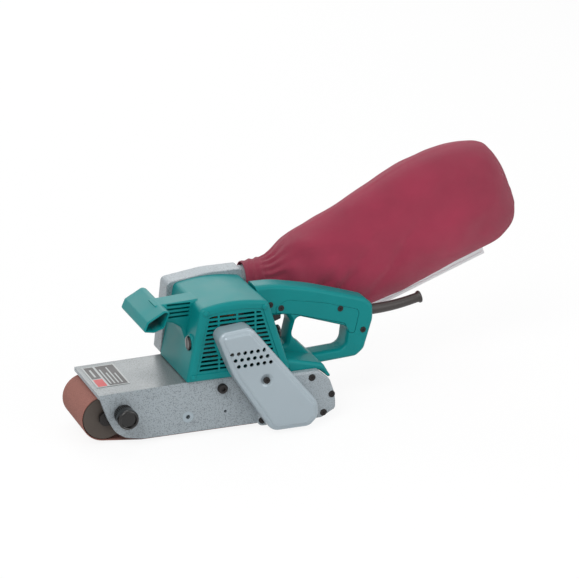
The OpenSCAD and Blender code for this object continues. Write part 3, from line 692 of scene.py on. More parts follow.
def slab(
    name: str,
    corners: Outline,
    profile: Pairs,
    holes: Sequence[Outline] = (),
    axis: Axis = Axis.ALONG_Y,
    steps: int = 6,
) -> bpy.types.Object:
    """Draws an outline out along an axis, with a profile for its rims.

    Args:
        name: the piece's name.
        corners: the outline, anticlockwise.
        profile: inset and distance along the axis, in order.
        holes: outlines of holes right through.
        axis: the direction.
        steps: sides of each round corner.

    Returns:
        The closed solid.
    """
    data = bmesh.new()
    ends: tuple[list, list] = ([], [])
    for outline, share in [(corners, 1.0), *[(hole, -HOLE_SHARE) for hole in holes]]:
        rings = []
        for width, at in profile:
            points = rounded(inset(outline, width * share), steps)
            rings.append([data.verts.new(axis.place(p.x, p.y, at)) for p in points])
        for lower, upper in zip(rings, rings[1:]):
            for index, vert in enumerate(lower):
                after = (index + 1) % len(lower)
                data.faces.new((vert, lower[after], upper[after], upper[index]))
        ends[0].append(rings[0])
        ends[1].append(rings[-1])
    for loops in ends:
        edges = [data.edges.get((a, b)) for loop in loops for a, b in zip(loop, loop[1:] + loop[:1])]
        bmesh.ops.triangle_fill(data, edges=edges, use_beauty=True)
    bmesh.ops.recalc_face_normals(data, faces=data.faces)
    return as_object(name, data)


def lathe(name: str, profile: Pairs, centre: Vector, direction: Vector, sides: int = 48) -> bpy.types.Object:
    """Turns a profile round an axis.

    Args:
        name: the piece's name.
        profile: distance along the axis and radius, in millimetres. It starts and ends on the axis.
        centre: the axis's start, in millimetres.
        direction: the axis's direction.
        sides: sides of the round.

    Returns:
        The closed solid.
    """
    data = bmesh.new()
    turn = direction.to_track_quat("Z", "Y")
    rings = []
    for along, radius in profile:
        if radius <= 0:
            rings.append([data.verts.new((centre + turn @ Vector((0, 0, along))) * MM)])
            continue
        ring = []
        for side in range(sides):
            angle = 2 * math.pi * side / sides
            point = Vector((radius * math.cos(angle), radius * math.sin(angle), along))
            ring.append(data.verts.new((centre + turn @ point) * MM))
        rings.append(ring)
    bridge(data, rings)
    bmesh.ops.recalc_face_normals(data, faces=data.faces)
    return as_object(name, data)


def bridge(data: bmesh.types.BMesh, rings: list[list]) -> None:
    """Joins rings of points, some of which may be a single point.

    Args:
        data: the mesh data.
        rings: the rings in order.
    """
    for lower, upper in zip(rings, rings[1:]):
        count = max(len(lower), len(upper))
        for index in range(count):
            after = (index + 1) % count
            if len(lower) == 1:
                data.faces.new((lower[0], upper[after], upper[index]))
            elif len(upper) == 1:
                data.faces.new((lower[index], lower[after], upper[0]))
            else:
                data.faces.new((lower[index], lower[after], upper[after], upper[index]))


def settle(obj: bpy.types.Object) -> bpy.types.Object:
    """Applies a piece's modifiers to its mesh.

    Args:
        obj: the piece.

    Returns:
        The piece with a plain mesh.
    """
    evaluated = obj.evaluated_get(bpy.context.evaluated_depsgraph_get())
    mesh = bpy.data.meshes.new_from_object(evaluated)
    obj.modifiers.clear()
    old, obj.data = obj.data, mesh
    mesh.name = obj.name
    bpy.data.meshes.remove(old)
    return obj


def combine(base: bpy.types.Object, *others: bpy.types.Object, how: Join = Join.CUT) -> bpy.types.Object:
    """Cuts solids out of a piece, or adds them to it.

    Args:
        base: the piece.
        *others: the solids, which are removed afterwards.
        how: what is done with them.

    Returns:
        The piece.
    """
    for other in others:
        modifier = base.modifiers.new("solid", "BOOLEAN")
        modifier.operation = how.value
        modifier.solver = "EXACT"
        modifier.object = other
    settle(base)
    for other in others:
        bpy.data.objects.remove(other, do_unlink=True)
    data = bmesh.new()
    data.from_mesh(base.data)
    bmesh.ops.remove_doubles(data, verts=data.verts, dist=WELD)
    bmesh.ops.dissolve_degenerate(data, edges=data.edges, dist=SLIVER)
    data.to_mesh(base.data)
    data.free()
    return shade(base)


def rod(centre: Pair, radius: float, start: float, end: float) -> bpy.types.Object:
    """A plain round solid along Y, used to add bosses and to cut holes."""
    profile = [(start, 0), (start, radius), (end, radius), (end, 0)]
    return lathe("rod", profile, Vector((centre[0], 0, centre[1])), FARWARD, ROD_SIDES)


def box(low: Pair, high: Pair, radius: float = 0) -> Outline:
    """The outline of a box.

    Args:
        low: its lowest corner.
        high: its highest corner.
        radius: radius of its corners.

    Returns:
        The outline, anticlockwise.
    """
    places = ((low[0], low[1]), (high[0], low[1]), (high[0], high[1]), (low[0], high[1]))
    return [(x, y, radius) for x, y in places]


def block(low: Corner, high: Corner) -> bpy.types.Object:
    """A plain block between two corners, used to cut."""
    outline = box((low[0], low[2]), (high[0], high[2]))
    return slab("block", outline, [(0, low[1]), (0, high[1])])


# ---------- geometry node makers ----------


class Maker:
    """A Geometry Nodes tree with named sizes, that turns points into finished pieces."""

    def __init__(self, name: str, sizes: dict[str, object]) -> None:
        """Starts the tree.

        Args:
            name: the tree's name.
            sizes: name of each input to its default.
        """
        self.tree = bpy.data.node_groups.new(name, "GeometryNodeTree")
        new_socket = self.tree.interface.new_socket
        new_socket(name="Geometry", in_out="INPUT", socket_type="NodeSocketGeometry")
        for label, value in sizes.items():
            socket = new_socket(name=label, in_out="INPUT", socket_type=SOCKETS[type(value)])
            socket.default_value = value
        new_socket(name="Material", in_out="INPUT", socket_type="NodeSocketMaterial")
        new_socket(name="Geometry", in_out="OUTPUT", socket_type="NodeSocketGeometry")
        self.graph = Graph(self.tree)
        self.given = self.graph.add("NodeGroupInput")
        self.result = self.graph.add("NodeGroupOutput")

    def end(
        self, points: bpy.types.NodeSocket, piece: bpy.types.NodeSocket, rotation: object = (0.0, 0.0, 0.0)
    ) -> None:
        """Puts the piece on every point, realizes it and sets its material.

        Args:
            points: the points' socket.
            piece: the repeated piece's socket.
            rotation: how each piece is turned.
        """
        placed = self.graph.add(
            "GeometryNodeInstanceOnPoints", {"Points": points, "Instance": piece, "Rotation": rotation}
        )
        real = self.graph.add("GeometryNodeRealizeInstances", {0: placed.outputs[0]})
        done = self.graph.add(
            "GeometryNodeSetMaterial", {0: real.outputs[0], "Material": self.given.outputs["Material"]}
        )
        self.graph.feed(self.result.inputs[0], done.outputs[0])

    def make(
        self,
        name: str,
        material: bpy.types.Material | None,
        sizes: dict[str, object],
        points: list[Vector] | None = None,
    ) -> bpy.types.Object:
        """Runs the tree.

        Args:
            name: the new piece's name.
            material: its material.
            sizes: input name to value.
            points: places for the pieces, in millimetres, where the tree takes them from its geometry.

        Returns:
            The piece as a plain mesh.
        """
        mesh = bpy.data.meshes.new(name)
        mesh.from_pydata([p * MM for p in points or [Vector()]], [], [])
        obj = placed(name, mesh)
        modifier = obj.modifiers.new("maker", "NODES")
        modifier.node_group = self.tree
        for item in self.tree.interface.items_tree:
            if item.in_out == "INPUT" and item.name in sizes:
                modifier[item.identifier] = sizes[item.name]
            if item.in_out == "INPUT" and item.name == "Material" and material:
                modifier[item.identifier] = material
        return shade(settle(obj))


class Makers:
    """The repeated details of the machine, one tree for each kind."""

    def __init__(self) -> None:
        """Builds the trees."""
        self.screws = self._screws()
        self.pegs = self._pegs()
        self.bars = self._bars()
        self.ribs = self._ribs()

    @staticmethod
    def _screws() -> Maker:
        """Cross-head screws that face -Y, one at each point."""
        maker = Maker(
            "cross_head_screws",
            {
                "Radius": 0.0034,
                "Height": 0.002,
                "Turn": TIPPED,
            },
        )
        graph, given = maker.graph, maker.given
        radius, height = given.outputs["Radius"], given.outputs["Height"]
        head = graph.add("GeometryNodeMeshCylinder", {"Vertices": 28, "Radius": radius, "Depth": height})
        arms = []
        for sides in ((1.15, 0.24), (0.24, 1.15)):
            size = graph.add(
                "ShaderNodeCombineXYZ",
                {
                    "X": graph.maths(radius, sides[0], "MULTIPLY"),
                    "Y": graph.maths(radius, sides[1], "MULTIPLY"),
                    "Z": height,
                },
            )
            cube = graph.add("GeometryNodeMeshCube", {"Size": size.outputs[0]})
            up = graph.add("ShaderNodeCombineXYZ", {"Z": graph.maths(height, 0.55, "MULTIPLY")})
            arms.append(
                graph.add(
                    "GeometryNodeTransform", {"Geometry": cube.outputs[0], "Translation": up.outputs[0]}
                ).outputs[0],
            )
        cut = graph.add(
            "GeometryNodeMeshBoolean", {0: head.outputs[0]}, operation="DIFFERENCE", solver="EXACT"
        )
        for arm in arms:
            graph.feed(cut.inputs[1], arm)
        maker.end(given.outputs["Geometry"], cut.outputs[0], given.outputs["Turn"])
        return maker

    @staticmethod
    def _pegs() -> Maker:
        """Round pegs along Y in staggered rows, which cut perforations."""
        maker = Maker(
            "staggered_pegs",
            {
                "Rows": 3,
                "Columns": 6,
                "Pitch": 0.0075,
                "Drift": 0.0002,
                "Radius": 0.0023,
                "Length": 0.01,
                "Start": (0.0, 0.0, 0.0),
            },
        )
        graph, given = maker.graph, maker.given
        columns, pitch = given.outputs["Columns"], given.outputs["Pitch"]
        count = graph.maths(given.outputs["Rows"], columns, "MULTIPLY")
        points = graph.add("GeometryNodePoints", {"Count": count})
        index = graph.add("GeometryNodeInputIndex").outputs[0]
        column = graph.maths(index, columns, "MODULO")
        row = graph.maths(graph.maths(index, columns, "DIVIDE"), 0.0, "FLOOR")
        across = graph.maths(graph.maths(column, graph.maths(row, 0.5, "MULTIPLY")), pitch, "MULTIPLY")
        up = graph.maths(
            graph.maths(column, given.outputs["Drift"], "MULTIPLY"),
            graph.maths(row, pitch, "MULTIPLY"),
            "SUBTRACT",
        )
        place = graph.add("ShaderNodeCombineXYZ", {"X": across, "Z": up})
        shift = graph.add(
            "ShaderNodeVectorMath", {0: place.outputs[0], 1: given.outputs["Start"]}, operation="ADD"
        )
        put = graph.add(
            "GeometryNodeSetPosition", {"Geometry": points.outputs[0], "Position": shift.outputs[0]}
        )
        peg = graph.add(
            "GeometryNodeMeshCylinder",
            {"Vertices": 20, "Radius": given.outputs["Radius"], "Depth": given.outputs["Length"]},
        )
        maker.end(put.outputs[0], peg.outputs[0], TIPPED)
        return maker

    @staticmethod
    def _bars() -> Maker:
        """Level bars one above another, which cut slots."""
        maker = Maker(
            "stacked_bars",
            {
                "Count": 14,
                "Start": (0.0, 0.0, 0.0),
                "Step": (0.0, 0.0, 0.0053),
                "Size": (0.1, 0.01, 0.0027),
            },
        )
        graph, given = maker.graph, maker.given
        line = graph.add(
            "GeometryNodeMeshLine", {
                "Count": given.outputs["Count"],
                "Start Location": given.outputs["Start"],
                "Offset": given.outputs["Step"],
            }
        )
        bar = graph.add("GeometryNodeMeshCube", {"Size": given.outputs["Size"]})
        maker.end(line.outputs[0], bar.outputs[0])
        return maker

    @staticmethod
    def _ribs() -> Maker:
        """Ribs round an axis along Y."""
        maker = Maker(
            "ribs_round_axis",
            {
                "Count": 24,
                "Radius": 0.0105,
                "Centre": (0.0, 0.0, 0.0),
                "Rib": (0.0014, 0.0014, 0.01),
            },
        )
        graph, given = maker.graph, maker.given
        circle = graph.add(
            "GeometryNodeMeshCircle", {"Vertices": given.outputs["Count"], "Radius": given.outputs["Radius"]}
        )
        stand = graph.add(
            "GeometryNodeTransform",
            {"Geometry": circle.outputs[0], "Translation": given.outputs["Centre"], "Rotation": TIPPED},
        )
        rib = graph.add("GeometryNodeMeshCube", {"Size": given.outputs["Rib"]})
        maker.end(stand.outputs[0], rib.outputs[0], TIPPED)
        return maker


@dataclass
class Shop:
    """What every sub-assembly is made with."""

    palette: Palette
    makers: Makers

    def fit(
        self, obj: bpy.types.Object, finish: str, slot: str, body: str, *stands_for: str
    ) -> bpy.types.Object:
        """Dresses a finished piece and lets it ride on its body.

        Args:
            obj: the piece.
            finish: its finish.
            slot: the record's material slot. It is not used.
            body: the body that it moves with.
            *stands_for: CAD nodes that it replaces.

        Returns:
            The piece.
        """
        if finish != "bag_cloth":
            crisp(obj)
        self.palette.dress(obj, finish)
        if stands_for:
            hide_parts(*stands_for)
        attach(obj, body)
        LOG.info("%s: %d faces, rides on %s", obj.name, len(obj.data.polygons), body)
        return obj

    def screws(
        self,
        name: str,
        places: Pairs,
        level: float,
        radius: float,
        height: float,
        facing: Facing = Facing.NEAR,
    ) -> bpy.types.Object:
        """Makes the heads of black cross-head screws.

        Args:
            name: the piece's name.
            places: X and Z of each screw, in millimetres.
            level: Y of the middle of their heads, in millimetres.
            radius: radius of a head, in metres.
            height: height of a head, in metres.
            facing: the way the heads point.

        Returns:
            The heads as one piece.
        """
        sizes = {"Radius": radius, "Height": height, "Turn": facing.value}
        points = [Vector((x, level, z)) for x, z in places]
        return self.makers.screws.make(name, self.palette.materials["black_steel"], sizes, points)


def merge(name: str, pieces: list[bpy.types.Object]) -> bpy.types.Object:
    """Gathers several pieces into one.

    Args:
        name: the new piece's name.
        pieces: the pieces, which are removed.

    Returns:
        The new piece.
    """
    data = bmesh.new()
    for piece in pieces:
        data.from_mesh(piece.data)
        bpy.data.objects.remove(piece, do_unlink=True)
    return as_object(name, data)


def softened(node: bpy.types.Object, name: str, width: float) -> bpy.types.Object:
    """A copy of a CAD node with its sharp edges broken.

    Args:
        node: the CAD node.
        name: the copy's name.
        width: width of the broken edges, in millimetres.

    Returns:
        The copy.
    """
    data = bmesh.new()
    data.from_mesh(node.data)
    bmesh.ops.remove_doubles(data, verts=data.verts, dist=WELD)
    bmesh.ops.dissolve_limit(data, angle_limit=math.radians(1.0), verts=data.verts, edges=data.edges)
    copy = as_object(name, data)
    bevel = copy.modifiers.new("edges", "BEVEL")
    bevel.width = width * MM
    bevel.segments = 2
    bevel.limit_method = "ANGLE"
    bevel.angle_limit = math.radians(BEVELLED_EDGE)
    bevel.use_clamp_overlap = True
    return shade(settle(copy))


def crisp(obj: bpy.types.Object) -> bpy.types.Object:
    """Keeps flat faces flat where rounded edges meet them.

    Args:
        obj: the piece.

    Returns:
        The piece.
    """
    weights = obj.modifiers.new("flat", "WEIGHTED_NORMAL")
    weights.keep_sharp = True
    weights.weight = 100
    return settle(obj)


# ---------- shared outlines of the castings ----------

BODY: Outline = ((-16, 65.8, 2), (107, 65.8, 2), (80.5, 151, 7), (41, 157, 150), (1.5, 150.5, 7))
MOTOR: Pair = (36, 108)
DRUM: Pair = (112.5, 29)
PINION: Pair = (85.54, 42.15)
END_SCREWS: Pairs = ((-8.5, 72), (87, 72.5), (7, 145), (75.6, 145))
FAN_SCREWS: Pairs = ((-8, 76), (84, 76), (2, 143), (76, 149))
COVER_SCREW: Pair = (68.5, 68)
END_COVER_FACE = -55.9


@dataclass
class Assembly:
    """A sub-assembly of the machine, with the shop that makes its pieces."""

    shop: Shop


@dataclass
class BeltDrive(Assembly):
    """The pressed cover of the drive belt, the gear case behind it and the screws that hold them."""

    cover: Outline = (
        (67.5, 19, 30), (76, 4.6, 14), (121, 4.6, 12), (131.8, 15, 14), (130.5, 33, 16), (56, 126.5, 9),
        (50, 131, 10), (11, 127.5, 9), (31.5, 75, 90),
    )
    case: Outline = (
        (66, 4.6, 6), (142.5, 4.6, 8), (159.5, 14, 5), (159.5, 30, 60), (152.5, 50, 10),
        (138.5, 62.3, 5), (72, 62.3, 6), (66, 50, 10),
    )
    shoulder: Pairs = (
        (8.2, -81.5), (7.0, -81.4), (6.0, -81.0), (5.3, -80.4), (4.9, -79.7), (4.4, -79.3),
        (3.2, -79.1), (2.0, -78.7), (0.9, -77.8), (0.25, -76.6), (0.0, -75.0),
    )
    wall: float = 1.6
    cover_in: float = -60.1
    cover_top_in: float = -56.0
    bolt: Corner = (26.6, -51.05, 53.5)
    head_radius: float = 0.0038
    case_near: float = -60.0
    case_far: float = -51.1
    case_hollow: float = -57.5
    case_screws: Pairs = ((154.5, 32), (130.5, 55), (144.5, 11), (71, 12), (76, 57))

    def build(self) -> None:
        """Builds every piece."""
        self.build_cover()
        self.build_case()
        self.build_screws()

    def build_cover(self) -> None:
        """The pressed cover with its raised face, its perforations and its sunk screw seat."""
        cover = slab("drive_cover", self.cover, [*self.shoulder, (0, self.cover_in)], steps=10)
        top = slab("top", self.cover, [(0, self.cover_in - 1), (0, self.cover_top_in)], steps=10)
        combine(
            top, block((0, self.cover_in - 2, 63), (140, self.cover_top_in + 1, 140)), how=Join.KEEP_COMMON
        )
        combine(cover, top, how=Join.ADD)
        inner = inset(self.cover, self.wall)
        hollow = slab(
            "hollow",
            inner,
            [*[(w, y + self.wall) for w, y in self.shoulder], (0, self.cover_top_in + 1)],
            steps=10,
        )
        combine(cover, hollow)
        centre = Vector((COVER_SCREW[0], -81.5, COVER_SCREW[1]))
        combine(
            cover, lathe("seat", [(1.5, 0), (1.5, 9), (3.2, 8.4), (3.2, 0)], centre, FARWARD), how=Join.ADD
        )
        cuts = [
            lathe("dimple", [(-1, 0), (-1, 8.6), (0.1, 7.7), (1.6, 5.2), (1.6, 0)], centre, FARWARD),
            rod(COVER_SCREW, 2.1, -82, -75),
            self.shop.makers.pegs.make("holes", None, {"Start": Vector((28.4, -80.5, 103.2)) * MM}),
        ]
        combine(cover, *cuts)
        self.shop.fit(cover, "cover_silver", "cover_silver", "frame", "belt_cover")

    def build_case(self) -> None:
        """The cast gear case with its bearing bosses and sunk screw seats."""
        case = slab("cast_gear_case", self.case, rim(self.case_near, self.case_far, near=(3, 3)), steps=8)
        bosses = [rod(PINION, 13, -64, -57), rod(DRUM, 9, -63.2, -57)]
        combine(case, *bosses, how=Join.ADD)
        cuts = [rod(DRUM, 26, self.case_hollow, -50), rod(PINION, 10.5, self.case_hollow, -50)]
        cuts += [rod(PINION, 7, -65, -57), rod(DRUM, 3.2, -62, -57)]
        cuts += [rod(at, 4.3, -61, -58) for at in self.case_screws]
        combine(case, *cuts)
        self.shop.fit(case, "hammered_silver", "frame_silver", "frame", "gear_case")

    def build_screws(self) -> None:
        """The cross-head screws of the cases, and the socket screw on the side plate."""
        heads = [
            self.shop.screws("heads", self.case_screws, -59.05, self.head_radius, 0.0019),
            self.shop.screws("heads", FAN_SCREWS, 68.2, self.head_radius, 0.0023, Facing.FAR),
        ]
        self.shop.fit(
            merge("cross_head_case_screws", heads), "black_steel", "dark_steel", "frame", "case_screws"
        )
        dome = [(0, 0), (0, 3.2), (1.0, 3.0), (1.5, 2.2), (1.6, 0)]
        plugs = [lathe("plug", dome, Vector((x, END_COVER_FACE, z)), NEARWARD, 28) for x, z in END_SCREWS]
        self.shop.fit(merge("end_cover_plugs", plugs), "teal_plastic", "teal_plastic", "frame")
        screw = self.shop.screws("drive_cover_screw", (COVER_SCREW,), -81.2, self.head_radius, 0.0022)
        self.shop.fit(screw, "black_steel", "dark_steel", "frame", "belt_cover_screw")
        bolt = lathe(
            "socket_bolt",
            [(0, 0), (0, 5.6), (3.6, 5.6), (4.4, 5.1), (4.6, 4.4), (4.6, 0)],
            Vector(self.bolt),
            NEARWARD,
        )
        combine(
            bolt, lathe("socket", [(2.2, 0), (2.2, 2.9), (6, 2.9), (6, 0)], Vector(self.bolt), NEARWARD, 6)
        )
        self.shop.fit(bolt, "black_steel", "dark_steel", "frame", "frame_bolt")


@dataclass
class MotorCasing(Assembly):
    """The moulded motor housing with the front grip, and the vented end cover."""

    neck: Outline = (
        (-42, 150.5, 0), (-38, 131, 0), (-22, 128, 6), (-12, 121, 6), (-7, 104, 0), (8, 104, 0),
        (8, 152.8, 0),
    )
    grip: Outline = (
        (-62.5, 129, 2.5), (-50, 126.8, 5), (-38, 131, 3), (-30.5, 148.8, 3), (-37, 151.4, 5),
        (-57.5, 140.2, 4),
    )
    wall: float = 3.0
    near: float = -50.0
    far: float = 41.0
    cover_far: float = -50.1
    brush_y: float = -41.4
    brush_bore: float = 7.0
    cap_ends: tuple[float, float] = (-8.2, 95.4)

    def build(self) -> None:
        """Builds every piece."""
        self.build_housing()
        self.build_end_cover()
        self.build_caps()

    def build_housing(self) -> None:
        """The housing, open towards the end cover, with the neck and the hollow grip."""
        housing = slab("moulded_housing", BODY, [(0, self.near), (0, self.far)], steps=10)
        combine(
            housing,
            slab("inside", inset(BODY, self.wall), [(0, self.near - 1), (0, self.far - self.wall)], steps=10),
        )
        neck = slab("neck", self.neck, rim(-27, 2, (4, 3.5), (4, 3.5)), steps=8)
        combine(
            neck,
            rod(MOTOR, 36, -28, 3),
            slab(
                "core",
                [(-27, 147, 0), (-25, 134, 0), (-14, 126, 0), (-4, 122, 0), (-4, 147, 0)],
                [(0, -23), (0, -2)],
            ),
        )
        grip = slab("grip", self.grip, rim(-47, 41, (2.2, 1.6), (5, 3)), steps=8)
        collar = lathe(
            "collar",
            [(0, 0), (0, 9.8), (1, 10.4), (9, 10.4), (9, 0)],
            Vector((-8.1, self.brush_y, MOTOR[1])),
            REARWARD,
        )
        combine(housing, neck, grip, collar, how=Join.ADD)
        mouth = [(-1.2, -48), (-0.5, -46.4), (0, -45), (0, 39.4), (-0.8, 42)]
        louvres = self.shop.makers.bars.make(
            "louvres",
            None,
            {
                "Count": 4,
                "Start": Vector((-15, -24, 149.3)) * MM,
                "Step": Vector((-0.75, 0, -4.6)) * MM,
                "Size": Vector((27, 8, 2.2)) * MM,
            },
        )
        bore = lathe(
            "bore",
            [(0, 0), (0, self.brush_bore), (104, self.brush_bore), (104, 0)],
            Vector((-12, self.brush_y, MOTOR[1])),
            REARWARD,
        )
        combine(
            housing,
            slab("mouth", inset(self.grip, 2.4), mouth, steps=8),
            louvres,
            bore,
            rod(MOTOR, 6, 37, 42),
        )
        self.shop.fit(housing, "teal_plastic", "teal_plastic", "frame", "motor_housing")

    def build_end_cover(self) -> None:
        """The end cover: rounded rim, sunk panel, cooling slots between ribs, and the shaft boss."""
        cover = slab("vented_end_cover", BODY, rim(END_COVER_FACE, self.cover_far, near=(4.6, 4.2)), steps=10)
        hollow = slab("hollow", inset(BODY, 4.5), [(0, -53.4), (0, -49)], steps=10)
        panel = slab("panel", inset(BODY, 9.0), [(-0.9, -57), (0, -54.9)], steps=10)
        combine(panel, rod(MOTOR, 17, -58, -54), rod(COVER_SCREW, 8, -58, -54))
        slots = self.shop.makers.bars.make(
            "slots",
            None,
            {
                "Count": 13,
                "Start": Vector((46, -53, 79.0)) * MM,
                "Step": Vector((0, 0, 5.05)) * MM,
                "Size": Vector((110, 9, 2.7)) * MM,
            },
        )
        combine(
            slots, slab("slot_field", inset(BODY, 12), [(0, -58), (0, -48)], steps=10), how=Join.KEEP_COMMON
        )
        ribs = [block((x, -60, 60), (x + 2.2, -45, 160)) for x in (21, 42.6, 64)]
        combine(slots, *ribs, rod(MOTOR, 19, -60, -45), rod(COVER_SCREW, 9, -60, -45))
        combine(cover, hollow, panel, slots)
        combine(cover, rod(MOTOR, 14, -59.9, self.cover_far), rod(COVER_SCREW, 4.5, -78.2, -53), how=Join.ADD)
        combine(cover, rod(MOTOR, 6, -61, -49), rod(COVER_SCREW, 2.1, -80, -50))
        self.shop.fit(cover, "teal_plastic", "teal_plastic", "frame", "motor_end_cover")

    def build_caps(self) -> None:
        """The two slotted brush caps, each with a coloured slug in its slot."""
        caps, slugs = [], []
        for end, way in zip(self.cap_ends, (-1, 1)):
            centre, out = Vector((end, self.brush_y, MOTOR[1])), Vector((way, 0, 0))
            cap = lathe(
                "cap",
                [(-9, 0), (-9, 4.8), (0.1, 4.8), (0.1, 8.2), (1.7, 8.2), (2.4, 7.6), (2.6, 6.8), (2.6, 0)],
                centre,
                out,
            )
            low, high = sorted((end + way * 1.2, end + way * 4))
            combine(
                cap,
                block((low, self.brush_y - 1.3, MOTOR[1] - 6.4), (high, self.brush_y + 1.3, MOTOR[1] + 6.4)),
            )
            caps.append(cap)
            low, high = sorted((end + way * 1.0, end + way * 1.9))
            outline = box((self.brush_y - 1.25, MOTOR[1] - 6.3), (self.brush_y + 1.25, MOTOR[1] + 6.3), 0.5)
            slug = slab("slug", outline, [(0, low), (0, high)], axis=Axis.ALONG_X)
            slugs.append(slug)
        self.shop.fit(
            merge("slotted_brush_caps", caps), "gloss_black", "black_plastic", "frame", "brush_caps"
        )
        self.shop.fit(merge("brush_cap_slugs", slugs), "cap_brown", "black_plastic", "frame")


@dataclass
class DustFanCasing(Assembly):
    """The cast casing of the dust fan, with the nozzle that carries the bag."""

    shape: Outline = (
        (-16, 66.7, 4), (94, 66.7, 10), (90, 112, 20), (84, 119, 3), (84, 158, 4), (42, 158, 120),
        (-6, 151.5, 6),
    )
    near: float = 41.2
    split: float = 64.4
    far: float = 67.0
    wall: float = 2.5
    nozzle_centre: Pair = (54.1, 140)
    nozzle_half: Pair = (12.9, 17)

    def nozzle(self, growth: float, start: float, end: float) -> bpy.types.Object:
        """The oval of the nozzle, drawn along X.

        Args:
            growth: how far it is grown on every side.
            start: where it starts.
            end: where it ends.

        Returns:
            The solid.
        """
        (y, z), (w, h) = self.nozzle_centre, self.nozzle_half
        w, h = w + growth, h + growth
        oval = box((y - w, z - h), (y + w, z + h), w - 0.1)
        return slab("nozzle", oval, [(0, start), (0, end - 0.6), (0.5, end)], axis=Axis.ALONG_X, steps=12)

    def build(self) -> None:
        """Builds the casing and its cover."""
        casing = slab(
            "cast_fan_casing",
            self.shape,
            [(0.8, self.near), (0, self.near + 0.8), (0, self.split)],
            steps=10,
        )
        combine(
            casing,
            slab(
                "inside", inset(self.shape, self.wall), [(0, self.near + self.wall), (0, self.far)], steps=10
            ),
        )
        posts = [rod(at, 4, self.near + 1, self.split) for at in FAN_SCREWS]
        combine(casing, *posts, self.nozzle(0, 83, 112), how=Join.ADD)
        holes = [rod(at, 2.1, self.near - 1, self.far) for at in FAN_SCREWS]
        combine(casing, self.nozzle(-2.2, 80, 114), rod(MOTOR, 12, self.near - 1, self.near + 3), *holes)
        self.shop.fit(casing, "hammered_silver", "frame_silver", "frame", "fan_casing")
        cover = slab("cast_fan_cover", self.shape, rim(self.split + 0.1, self.far, far=(2.0, 2.6)), steps=10)
        ring = slab("ring", inset(self.shape, 9), [(0, self.far - 0.7), (-0.5, self.far + 1)], steps=10)
        combine(ring, slab("core", inset(self.shape, 11), [(0, self.far - 2), (0, self.far + 2)], steps=10))
        combine(cover, ring)
        self.shop.fit(cover, "hammered_silver", "frame_silver", "frame", "fan_casing_cover")


